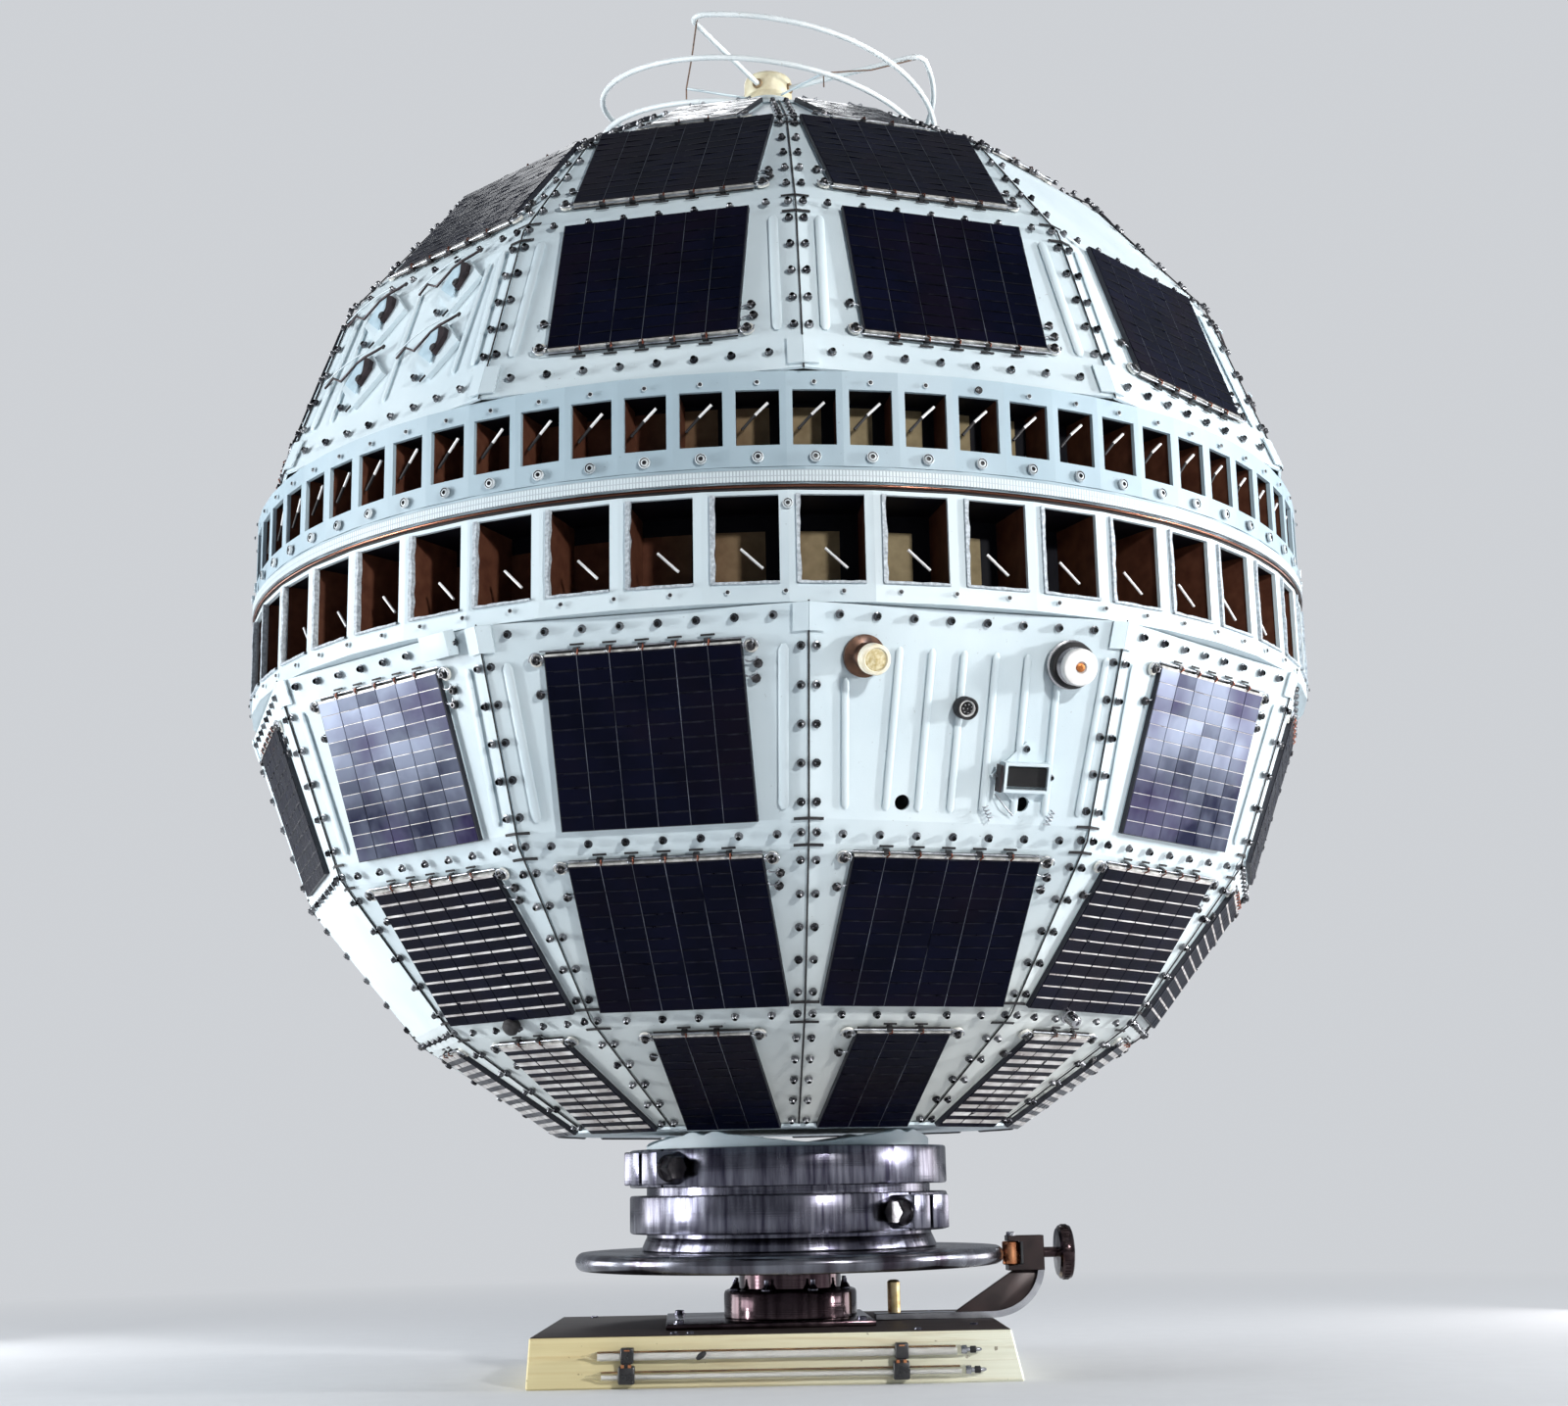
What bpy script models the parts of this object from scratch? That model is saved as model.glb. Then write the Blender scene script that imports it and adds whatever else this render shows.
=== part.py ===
"""A faceted spherical communications satellite clamped on a display turntable.

The body is a ball of flat painted facets: twelve gores above and twelve below a round belt
that carries two rows of square antenna windows. A four-arm helical antenna stands on top. The
separation ring underneath is held by two split clamp bands on a turntable, whose disc turns on
a bearing over a pine base. Metres, +Z up, origin on the turning axis at the underside of the
pine base. Azimuths are in degrees, counted from -Y towards +X.
"""
import math

import bmesh
import bpy
from mathutils import Matrix, Vector

# Running gap between pieces that touch
FIT = 0.0003

# Pine base and the steel plate on it
WOOD_WIDTH, WOOD_DEPTH, WOOD_THICKNESS = 0.362, 0.250, 0.037
WOOD_LEFT_SLOPE, WOOD_RIGHT_SLOPE = 0.0026, 0.0085
WOOD_TURN = -2.5
WOOD_SHIFT = -0.0124
PLATE_WIDTH, PLATE_DEPTH, PLATE_THICKNESS = 0.158, 0.150, 0.004
PLATE_SHIFT = -0.018

# Bearing housing and turntable
PEDESTAL_RADIUS, PEDESTAL_NECK_RADIUS = 0.052, 0.040
PEDESTAL_HEIGHT, PEDESTAL_NECK_HEIGHT = 0.027, 0.010
BEARING_GAP = 0.0005
DISC_RADIUS, DISC_THICKNESS = 0.168, 0.014
ADAPTER_RADIUS, ADAPTER_WALL, ADAPTER_FOOT = 0.112, 0.010, 0.013
RING_SIDES = 36
BAND_THICKNESS, BAND_HEIGHT, BAND_GAP = 0.013, 0.029, 0.006
LUG_LENGTH, LUG_THICKNESS, LUG_SPLIT = 0.021, 0.019, 0.003
BOLT_RADIUS, BOLT_HEAD_RADIUS, BOLT_HEAD_LENGTH = 0.005, 0.010, 0.011
LOWER_BAND_AZIMUTH, UPPER_BAND_AZIMUTH = 44.5, -52.3
SEPARATION_RING_HEIGHT, SEPARATION_RING_WALL = 0.012, 0.009
RING_DIP, RING_HUMPS, RING_DIP_AZIMUTH = 0.009, 4, 7.5

# Rim brake
BRAKE_CLEARANCE, RIM_CLEARANCE = 0.0006, 0.005
ROLLER_RADIUS, ROLLER_LENGTH, FORK_THICKNESS = 0.007, 0.018, 0.004
BLOCK_LENGTH, BLOCK_WIDTH = 0.016, 0.018
ARM_WIDTH, ARM_THICKNESS, ARM_SETBACK = 0.016, 0.005, 0.043
FOOT_CLEARANCE, WEB_THICKNESS, WEB_FOOT = 0.005, 0.005, 0.033
PIN_RADIUS, PIN_HEIGHT, PIN_INSET = 0.005, 0.025, 0.0155
KNOB_RADIUS, KNOB_THICKNESS, KNOB_STAND_OFF, KNOB_SHAFT_RADIUS = 0.021, 0.012, 0.011, 0.004

# Glass tubes in clips on the front of the base
TUBE_RADIUS, TUBE_LENGTH, TUBE_SPACING, TUBE_MIDDLE = 0.0035, 0.290, 0.014, 0.0165
TUBE_SHIFT, LOWER_TUBE_SHIFT = -0.0075, 0.0028
CLIP_WIDTH, CLIP_DEPTH, CLIP_HEIGHT = 0.012, 0.011, 0.0255
LEFT_CLIP_INSET, RIGHT_CLIP_INSET = 0.033, 0.0586

# The ball: facet corners lie on one sphere, at these latitudes
GORES = 12
BODY_RADIUS = 0.43815
TIER_LATITUDES = (10.27, 29.99, 48.45, 65.5)
SKIN = 0.002
FOLD_BAND = 0.0175
SEAM_GAP = 0.0016
EDGE_GAP = 0.0011
COVER_THICKNESS, COVER_LIP = 0.002, 0.002

# Bare margins round the solar tray of each tier: beside its far corners, at the waist side, at the far side
UPPER_TRAY_MARGINS = ((0.0327, 0.0345, 0.0035), (0.0097, 0.0270, 0.0012), (0.0130, 0.0200, 0.0018))
LOWER_TRAY_MARGINS = ((0.0327, 0.0245, 0.0095), (0.0097, 0.0150, 0.0087), (0.0130, 0.0170, 0.0018))
TRAY_THICKNESS = 0.003

# Gores that carry no tray on a tier, from the waist outwards
BARE_UPPER_GORES = ((3, 7, 11), (2, 6, 10), ())
BARE_LOWER_GORES = ((1, 5, 9), (), ())

# Four reflectors on each bare upper facet: across from its middle, down from its far fold
REFLECTOR_SIDE, REFLECTOR_THICKNESS = 0.034, 0.004
REFLECTOR_PLACES = ((0.043, 0.0875), (0.043, 0.0295), (-0.043, 0.0875), (-0.043, 0.0295))

# Connectors on the bare lower facet in front: to the right and down the slope from the waist edge
CONNECTOR_GORE = 1
LEFT_COAX_PLACE, RIGHT_COAX_PLACE = (-0.072, 0.034), (0.072, 0.032)
ROUND_PLACE, PORT_PLACE = (0.000, 0.064), (0.047, 0.108)
HOLE_PLACES, HOLE_RADIUS = ((-0.036, 0.1285), (0.048, 0.1267)), 0.0052
COAX_FLANGE_RADIUS, COAX_FLANGE_THICKNESS = 0.0145, 0.003
LEFT_COAX_RADIUS, LEFT_COAX_LENGTH = 0.0090, 0.025
RIGHT_COAX_RADIUS, RIGHT_COAX_LENGTH = 0.0102, 0.020
ROUND_RADIUS, ROUND_LENGTH = 0.0075, 0.009
PORT_WIDTH, PORT_HEIGHT, PORT_DEPTH, PORT_WALL = 0.033, 0.020, 0.009, 0.002

# Belt: its round wall lies this far inside the gores' corners
BELT_INSET, BELT_WALL, BELT_FLANGE = 0.00513, 0.003, 0.021
BELT_TURN = -1.6
WAIST_TOP, WAIST_BOTTOM, WAIST_GROOVE = 0.0125, -0.0030, 0.004

# Two window rows: count, post between two windows, rail at the waist, rail at the gores, horn depth
UPPER_WINDOWS, UPPER_POST, UPPER_WAIST_RAIL, UPPER_EDGE_RAIL, UPPER_HORN_DEPTH = 72, 0.0086, 0.0149, 0.0127, 0.030
LOWER_WINDOWS, LOWER_POST, LOWER_WAIST_RAIL, LOWER_EDGE_RAIL, LOWER_HORN_DEPTH = 48, 0.0118, 0.0030, 0.0131, 0.046
HORN_WALL, HORN_MARGIN = 0.003, 0.0008
PROBE_RADIUS, PROBE_LENGTH = 0.0011, 0.022

# Antenna on top: heights above the top cover
MAST_RADIUS, MAST_FOOT_RADIUS, MAST_HEIGHT = 0.024, 0.072, 0.088
HUB_RADIUS, HUB_HEIGHT = 0.021, 0.026
HELIX_RADIUS, ROD_RADIUS, HELIX_BEND = 0.146, 0.0023, 0.012
HELIX_SWEEP, HELIX_ARMS, HELIX_START = 232.0, 4, -28.6

# Inner canister
CANISTER_RADIUS, CANISTER_HEIGHT, CANISTER_FOOT_RADIUS = 0.230, 0.480, 0.070

# Levels worked out from the sizes above
PLATE_TOP = WOOD_THICKNESS + FIT + PLATE_THICKNESS
PEDESTAL_TOP = PLATE_TOP + FIT + PEDESTAL_HEIGHT + PEDESTAL_NECK_HEIGHT
DISC_BOTTOM = PEDESTAL_TOP + BEARING_GAP
DISC_TOP = DISC_BOTTOM + DISC_THICKNESS
ADAPTER_BOTTOM = DISC_TOP + FIT
LOWER_BAND_BOTTOM = ADAPTER_BOTTOM + ADAPTER_FOOT
UPPER_BAND_BOTTOM = LOWER_BAND_BOTTOM + BAND_HEIGHT + BAND_GAP
UPPER_BAND_TOP = UPPER_BAND_BOTTOM + BAND_HEIGHT
RING_BOTTOM = UPPER_BAND_TOP + FIT
RING_TOP = RING_BOTTOM + SEPARATION_RING_HEIGHT
HALF_HEIGHT = BODY_RADIUS * math.sin(math.radians(TIER_LATITUDES[-1]))
EQUATOR = RING_TOP + FIT + COVER_THICKNESS + FIT + HALF_HEIGHT
COVER_TOP = EQUATOR + HALF_HEIGHT + FIT + COVER_THICKNESS
BELT_HALF_HEIGHT = BODY_RADIUS * math.sin(math.radians(TIER_LATITUDES[0]))
BELT_RADIUS = BODY_RADIUS * math.cos(math.radians(TIER_LATITUDES[0])) - BELT_INSET
GORE_ANGLE = 360 / GORES

PARTS = "satellite_on_turntable"
CUTTERS = "cutters"


def clear_scene():
    for obj in list(bpy.data.objects):
        bpy.data.objects.remove(obj, do_unlink=True)


def collection(name):
    found = bpy.data.collections.get(name)
    if found is None:
        found = bpy.data.collections.new(name)
        bpy.context.scene.collection.children.link(found)
    return found


def material(name, colour, roughness, metallic):
    """A Principled material with a plain colour."""
    found = bpy.data.materials.get(name)
    if found is None:
        found = bpy.data.materials.new(name)
        found.use_nodes = True
        shader = found.node_tree.nodes["Principled BSDF"]
        shader.inputs["Base Color"].default_value = (*colour, 1)
        shader.inputs["Roughness"].default_value = roughness
        shader.inputs["Metallic"].default_value = metallic
    return found


def white_paint():
    return material("white_paint", (0.72, 0.78, 0.80), 0.45, 0.0)


def bright_steel():
    return material("bright_steel", (0.62, 0.63, 0.66), 0.22, 1.0)


def dark_steel():
    return material("dark_steel", (0.035, 0.028, 0.028), 0.35, 0.6)


def ivory_plastic():
    return material("ivory_plastic", (0.80, 0.76, 0.58), 0.5, 0.0)


def polar(radius, azimuth, height=0.0):
    """The point at this radius and azimuth."""
    angle = math.radians(azimuth)
    return Vector((radius * math.sin(angle), -radius * math.cos(angle), height))


def turn(azimuth):
    """Turns what faces -Y to face this azimuth."""
    return Matrix.Rotation(math.radians(azimuth), 4, "Z")


def add_object(name, data, finish):
    obj = bpy.data.objects.new(name, data)
    if finish is not None:
        data.materials.append(finish)
        collection(PARTS).objects.link(obj)
    else:
        collection(CUTTERS).objects.link(obj)
        obj.hide_render = True
        obj.display_type = "WIRE"
    return obj


def mesh_object(name, bm, finish):
    """Turns a bmesh into an object; no finish makes it a cutter."""
    bmesh.ops.recalc_face_normals(bm, faces=bm.faces)
    mesh = bpy.data.meshes.new(name)
    bm.to_mesh(mesh)
    bm.free()
    return add_object(name, mesh, finish)


def add_box(bm, size, place):
    """A box of this size, centred, then moved by the matrix."""
    bmesh.ops.create_cube(bm, size=1, matrix=place @ Matrix.Diagonal((*size, 1)))


def add_rod(bm, radius, start, end, segments=12):
    """A straight round or polygonal rod from start to end."""
    along = end - start
    facing = along.to_track_quat("Z", "Y").to_matrix().to_4x4()
    place = Matrix.Translation((start + end) / 2) @ facing
    bmesh.ops.create_cone(bm, cap_ends=True, segments=segments, radius1=radius, radius2=radius,
                          depth=along.length, matrix=place)


def boolean(obj, operation, other):
    modifier = obj.modifiers.new(f"{operation.lower()}_{other.name}", "BOOLEAN")
    modifier.operation = operation
    modifier.object = other
    modifier.solver = "EXACT"


def turned(name, profile, finish, segments=48, closed=False):
    """A turned solid: (radius, height) points down the outer side, from the axis to the axis.

    A closed profile makes a ring; its points are put in the order that faces it outwards.
    """
    bm = bmesh.new()
    area = sum(a[0] * b[1] - b[0] * a[1] for a, b in zip(profile, profile[1:] + profile[:1]))
    points = list(reversed(profile)) if closed and area > 0 else profile
    verts = [bm.verts.new((radius, 0, height)) for radius, height in points]
    for first, second in zip(verts, verts[1:]):
        bm.edges.new((first, second))
    if closed:
        bm.edges.new((verts[-1], verts[0]))
    mesh = bpy.data.meshes.new(name)
    bm.to_mesh(mesh)
    bm.free()
    obj = add_object(name, mesh, finish)
    screw = obj.modifiers.new("turn", "SCREW")
    screw.axis = "Z"
    screw.angle = math.tau
    screw.steps = screw.render_steps = segments
    screw.use_merge_vertices = True
    screw.merge_threshold = 0.00001
    return obj


def ring_profile(inner, outer, bottom, top, chamfer=0.0):
    """A rectangular ring section with its outer corners chamfered."""
    return [(inner, top), (outer - chamfer, top), (outer, top - chamfer),
            (outer, bottom + chamfer), (outer - chamfer, bottom), (inner, bottom)]


def plain_ring_profile(inner, outer, bottom, top):
    return [(inner, top), (outer, top), (outer, bottom), (inner, bottom)]


def corner(level, upper):
    """The (radius, height) of a facet corner ring, above or below the equator."""
    latitude = math.radians(TIER_LATITUDES[level])
    height = BODY_RADIUS * math.sin(latitude)
    return BODY_RADIUS * math.cos(latitude), EQUATOR + (height if upper else -height)


def facet_frame(level, upper):
    """Axes of the facet that faces -Y: X across, Y up its slope from the waist edge, Z out."""
    flat = math.cos(math.radians(GORE_ANGLE / 2))
    low_radius, low_height = corner(level, upper)
    high_radius, high_height = corner(level + 1, upper)
    low = Vector((0, -low_radius * flat, low_height))
    high = Vector((0, -high_radius * flat, high_height))
    along = (high - low).normalized()
    across = Vector((1, 0, 0)) if upper else Vector((-1, 0, 0))
    out = across.cross(along)
    frame = Matrix((across, along, out)).transposed().to_4x4()
    frame.translation = low
    return frame


def facet_length(level):
    """From the waist edge of a facet to its far fold, up its middle."""
    flat = math.cos(math.radians(GORE_ANGLE / 2))
    low_radius, low_height = corner(level, True)
    high_radius, high_height = corner(level + 1, True)
    return math.hypot(flat * (high_radius - low_radius), high_height - low_height)


def bend_rows(upper):
    """The (radius, height) of each bend: a fold is two bends with a narrow flat band between them."""
    last = len(TIER_LATITUDES) - 1
    steps = [(0, 1, EDGE_GAP)]
    for level in range(1, last):
        steps += [(level, level - 1, FOLD_BAND / 2), (level, level + 1, FOLD_BAND / 2)]
    for level, towards, distance in steps:
        share = distance / facet_length(min(level, towards))
        radius, height = corner(level, upper)
        next_radius, next_height = corner(towards, upper)
        yield radius + share * (next_radius - radius), height + share * (next_height - height)
    yield corner(last, upper)


def gore_sheet(name, upper, azimuth):
    """Three flat facets bent from one sheet, as an open surface with a solid thickness."""
    bm = bmesh.new()
    rows = []
    for radius, height in bend_rows(upper):
        half = radius * math.sin(math.radians(GORE_ANGLE / 2)) - SEAM_GAP / 2
        depth = radius * math.cos(math.radians(GORE_ANGLE / 2))
        rows.append([bm.verts.new((side * half, -depth, height)) for side in (-1, 1)])
    for low, high in zip(rows, rows[1:]):
        quad = (low[0], low[1], high[1], high[0]) if upper else (low[0], high[0], high[1], low[1])
        bm.faces.new(quad)
    mesh = bpy.data.meshes.new(name)
    bm.to_mesh(mesh)
    bm.free()
    sheet = add_object(name, mesh, white_paint())
    sheet.matrix_world = turn(azimuth)
    thickness = sheet.modifiers.new("sheet", "SOLIDIFY")
    thickness.thickness = SKIN
    thickness.offset = -1
    thickness.use_even_offset = True
    return sheet


def gore_fittings(name, upper, azimuth, bare_levels):
    """The solar trays, or the reflectors of a bare facet, sunk into the sheet they stand on."""
    bm = bmesh.new()
    for level, (beside, near, far) in enumerate(UPPER_TRAY_MARGINS if upper else LOWER_TRAY_MARGINS):
        frame = facet_frame(level, upper)
        if level in bare_levels:
            if upper and level == 0:
                add_reflectors(bm, frame)
            continue
        narrow_half = corner(level + 1, upper)[0] * math.sin(math.radians(GORE_ANGLE / 2))
        width = 2 * (narrow_half - beside)
        length = facet_length(level) - near - far
        middle = Matrix.Translation((0, near + length / 2, (TRAY_THICKNESS - SKIN / 2) / 2))
        add_box(bm, (width, length, TRAY_THICKNESS + SKIN / 2), frame @ middle)
    fittings = mesh_object(name, bm, None)
    fittings.matrix_world = turn(azimuth)
    return fittings


def add_reflectors(bm, frame):
    """Four square reflector plates, set cornerwise."""
    for across, below_fold in REFLECTOR_PLACES:
        height = (REFLECTOR_THICKNESS - SKIN / 2) / 2
        place = frame @ Matrix.Translation((across, facet_length(0) - below_fold, height))
        place = place @ Matrix.Rotation(math.radians(45), 4, "Z")
        add_box(bm, (REFLECTOR_SIDE, REFLECTOR_SIDE, REFLECTOR_THICKNESS + SKIN / 2), place)


def make_gores():
    for upper, half, bare_gores in ((True, "upper", BARE_UPPER_GORES), (False, "lower", BARE_LOWER_GORES)):
        for number in range(1, GORES + 1):
            azimuth = GORE_ANGLE * (number - 0.5)
            name = f"gore_{half}_{number:02d}"
            sheet = gore_sheet(name, upper, azimuth)
            bare_levels = [level for level, bare in enumerate(bare_gores) if number in bare]
            fittings = gore_fittings(f"fittings_{half}_{number:02d}", upper, azimuth, bare_levels)
            boolean(sheet, "UNION", fittings)
            if not upper and number == CONNECTOR_GORE:
                boolean(sheet, "DIFFERENCE", connector_holes("sheet_holes"))


def make_covers():
    """Flat twelve-sided covers that close the top and the bottom of the ball."""
    for name, bottom in (("top_cover", COVER_TOP - COVER_THICKNESS),
                         ("bottom_cover", EQUATOR - HALF_HEIGHT - FIT - COVER_THICKNESS)):
        radius = corner(len(TIER_LATITUDES) - 1, True)[0] + COVER_LIP
        bm = bmesh.new()
        place = Matrix.Translation((0, 0, bottom + COVER_THICKNESS / 2))
        bmesh.ops.create_cone(bm, cap_ends=True, segments=GORES, radius1=radius, radius2=radius,
                              depth=COVER_THICKNESS, matrix=place)
        mesh_object(name, bm, white_paint())


def window_rows():
    """Count, width, height, middle above the equator, horn depth and side of each window row."""
    rows = (
        (UPPER_WINDOWS, UPPER_POST, WAIST_TOP, UPPER_WAIST_RAIL, UPPER_EDGE_RAIL, UPPER_HORN_DEPTH, 1),
        (LOWER_WINDOWS, LOWER_POST, -WAIST_BOTTOM, LOWER_WAIST_RAIL, LOWER_EDGE_RAIL, LOWER_HORN_DEPTH, -1),
    )
    for count, post, waist, waist_rail, edge_rail, depth, side in rows:
        width = math.tau * BELT_RADIUS / count - post
        low, high = waist + waist_rail, BELT_HALF_HEIGHT - edge_rail
        yield count, width, high - low, side * (low + high) / 2, depth, side


def window_boxes(name, count, width, height, middle, outer, inner, finish=None):
    """A ring of boxes between two radii, one for each window."""
    bm = bmesh.new()
    for index in range(count):
        azimuth = BELT_TURN + (index + 0.5) * 360 / count
        place = turn(azimuth) @ Matrix.Translation((0, -(outer + inner) / 2, EQUATOR + middle))
        add_box(bm, (width, outer - inner, height), place)
    return mesh_object(name, bm, finish)


def make_belt():
    """Two rings with windows, each with a flange behind the gores' edges, and the waist ring."""
    inner = BELT_RADIUS - BELT_WALL
    flange = inner - BELT_FLANGE
    for count, width, height, middle, depth, side in window_rows():
        name = "belt_upper" if side > 0 else "belt_lower"
        waist = WAIST_TOP + FIT if side > 0 else WAIST_BOTTOM - FIT
        edge = side * BELT_HALF_HEIGHT
        profile = [(inner, EQUATOR + waist), (BELT_RADIUS, EQUATOR + waist), (BELT_RADIUS, EQUATOR + edge),
                   (flange, EQUATOR + edge), (flange, EQUATOR + edge - side * SKIN),
                   (inner, EQUATOR + edge - side * SKIN)]
        belt = turned(name, profile, white_paint(), count, closed=True)
        belt.matrix_world = turn(BELT_TURN)
        cutter = window_boxes(f"{name}_windows", count, width, height, middle,
                              BELT_RADIUS + BELT_WALL, inner - BELT_WALL)
        boolean(belt, "DIFFERENCE", cutter)


def make_waist():
    """The waist ring between the rows, with a groove at its lower edge."""
    inner = BELT_RADIUS - 2 * BELT_WALL
    groove = BELT_RADIUS - BELT_WALL
    top, bottom = EQUATOR + WAIST_TOP, EQUATOR + WAIST_BOTTOM
    profile = [(inner, top), (BELT_RADIUS, top), (BELT_RADIUS, bottom + WAIST_GROOVE),
               (groove, bottom + WAIST_GROOVE), (groove, bottom), (inner, bottom)]
    turned("belt_waist", profile, white_paint(), LOWER_WINDOWS, closed=True)


def make_horns():
    """The rings of open horn boxes behind the windows, each with a probe rod set aslant."""
    outer = BELT_RADIUS - BELT_WALL - FIT
    for count, width, height, middle, depth, slant in window_rows():
        name = "horns_upper" if slant > 0 else "horns_lower"
        inner = outer - depth
        box_width, box_height = width + 2 * HORN_MARGIN, height + 2 * HORN_MARGIN
        bottom = EQUATOR + middle - box_height / 2 - HORN_WALL
        top = EQUATOR + middle + box_height / 2 + HORN_WALL
        if slant < 0:
            top = min(top, EQUATOR + WAIST_BOTTOM - FIT)
        else:
            bottom = max(bottom, EQUATOR + WAIST_TOP + FIT)
        ring = turned(name, plain_ring_profile(inner - HORN_WALL, outer, bottom, top),
                      material("horn_bronze", (0.20, 0.13, 0.06), 0.5, 0.5), count // 2, closed=True)
        ring.matrix_world = turn(BELT_TURN)
        boolean(ring, "DIFFERENCE",
                window_boxes(f"{name}_boxes", count, box_width, box_height, middle, outer + BELT_WALL, inner))
        bm = bmesh.new()
        for index in range(count):
            face = turn(BELT_TURN + (index + 0.5) * 360 / count)
            foot = Vector((0, -(inner - HORN_WALL / 2), EQUATOR + middle - slant * PROBE_LENGTH * 0.1))
            tip = foot + Vector((PROBE_LENGTH * 0.45, -depth / 2, slant * PROBE_LENGTH * 0.55))
            add_rod(bm, PROBE_RADIUS, face @ foot, face @ tip, 3)
        boolean(ring, "UNION", mesh_object(f"{name}_probes", bm, None))


def make_canister():
    """The instrument canister inside the ball, on its foot."""
    bottom = EQUATOR - HALF_HEIGHT
    low, high = EQUATOR - CANISTER_HEIGHT / 2, EQUATOR + CANISTER_HEIGHT / 2
    profile = [(0, high), (CANISTER_RADIUS, high), (CANISTER_RADIUS, low),
               (CANISTER_FOOT_RADIUS, low), (CANISTER_FOOT_RADIUS, bottom), (0, bottom)]
    turned("canister", profile, bright_steel(), 24)


def make_antenna():
    """Mast cone, hub and four rods that run out level, bend down and wind round the mast."""
    mast_bottom = COVER_TOP + FIT
    mast_top = COVER_TOP + MAST_HEIGHT
    shoulder = (MAST_FOOT_RADIUS * 0.85, mast_top - MAST_HEIGHT * 0.30)
    profile = [(0, mast_top), (MAST_RADIUS, mast_top), shoulder,
               (MAST_FOOT_RADIUS, mast_bottom), (0, mast_bottom)]
    turned("antenna_mast", profile, white_paint(), 32)
    hub_bottom = mast_top + FIT
    hub_top = hub_bottom + HUB_HEIGHT
    rounding = HUB_RADIUS * 0.25
    profile = [(0, hub_top), (HUB_RADIUS - rounding, hub_top), (HUB_RADIUS, hub_top - rounding),
               (HUB_RADIUS, hub_bottom), (0, hub_bottom)]
    turned("antenna_hub", profile, ivory_plastic(), 24)
    for arm in range(HELIX_ARMS):
        helix_arm(f"antenna_arm_{arm + 1}", HELIX_START + arm * 360 / HELIX_ARMS, (hub_bottom + hub_top) / 2)


def helix_arm(name, azimuth, start_height):
    """One antenna rod as a bevelled curve."""
    end_height = COVER_TOP + 2 * FIT + ROD_RADIUS
    bend_angle = math.degrees(HELIX_BEND / HELIX_RADIUS)
    points = [polar(HUB_RADIUS + FIT, azimuth, start_height),
              polar(HELIX_RADIUS - HELIX_BEND, azimuth, start_height)]
    for part in (0.35, 0.7):
        points.append(polar(HELIX_RADIUS - HELIX_BEND * (1 - part) ** 2, azimuth + bend_angle * part ** 2,
                            start_height))
    steps = 20
    fall = start_height - end_height
    for step in range(steps + 1):
        part = step / steps
        angle = azimuth + bend_angle + (HELIX_SWEEP - bend_angle) * part
        points.append(polar(HELIX_RADIUS, angle, start_height - fall * part))
    curve = bpy.data.curves.new(name, "CURVE")
    curve.dimensions = "3D"
    curve.bevel_depth = ROD_RADIUS
    curve.bevel_resolution = 0
    curve.use_fill_caps = True
    spline = curve.splines.new("POLY")
    spline.points.add(len(points) - 1)
    for point, place in zip(spline.points, points):
        point.co = (*place, 1)
    add_object(name, curve, white_paint())


def make_wood_base():
    bm = bmesh.new()
    add_box(bm, (WOOD_WIDTH, WOOD_DEPTH, WOOD_THICKNESS), Matrix.Translation((0, 0, WOOD_THICKNESS / 2)))
    for vert in bm.verts:
        if vert.co.z > WOOD_THICKNESS / 2:
            vert.co.x += WOOD_LEFT_SLOPE if vert.co.x < 0 else -WOOD_RIGHT_SLOPE
    wood = mesh_object("wood_base", bm, material("pine", (0.78, 0.66, 0.42), 0.6, 0.0))
    wood.matrix_world = turn(WOOD_TURN) @ Matrix.Translation((WOOD_SHIFT, 0, 0))
    bevel = wood.modifiers.new("edges", "BEVEL")
    bevel.width = 0.0012
    bevel.segments = 1


def make_base_plate():
    bm = bmesh.new()
    place = Matrix.Translation((PLATE_SHIFT, 0, PLATE_TOP - PLATE_THICKNESS / 2))
    add_box(bm, (PLATE_WIDTH, PLATE_DEPTH, PLATE_THICKNESS), place)
    mesh_object("base_plate", bm, dark_steel())


def make_pedestal():
    """The bearing housing under the disc."""
    bottom = PLATE_TOP + FIT
    shoulder = bottom + PEDESTAL_HEIGHT
    profile = [(0, PEDESTAL_TOP), (PEDESTAL_NECK_RADIUS, PEDESTAL_TOP), (PEDESTAL_NECK_RADIUS, shoulder),
               (PEDESTAL_RADIUS - 0.003, shoulder), (PEDESTAL_RADIUS, shoulder - 0.003),
               (PEDESTAL_RADIUS, bottom), (0, bottom)]
    turned("pedestal", profile, dark_steel(), 32)


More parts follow.
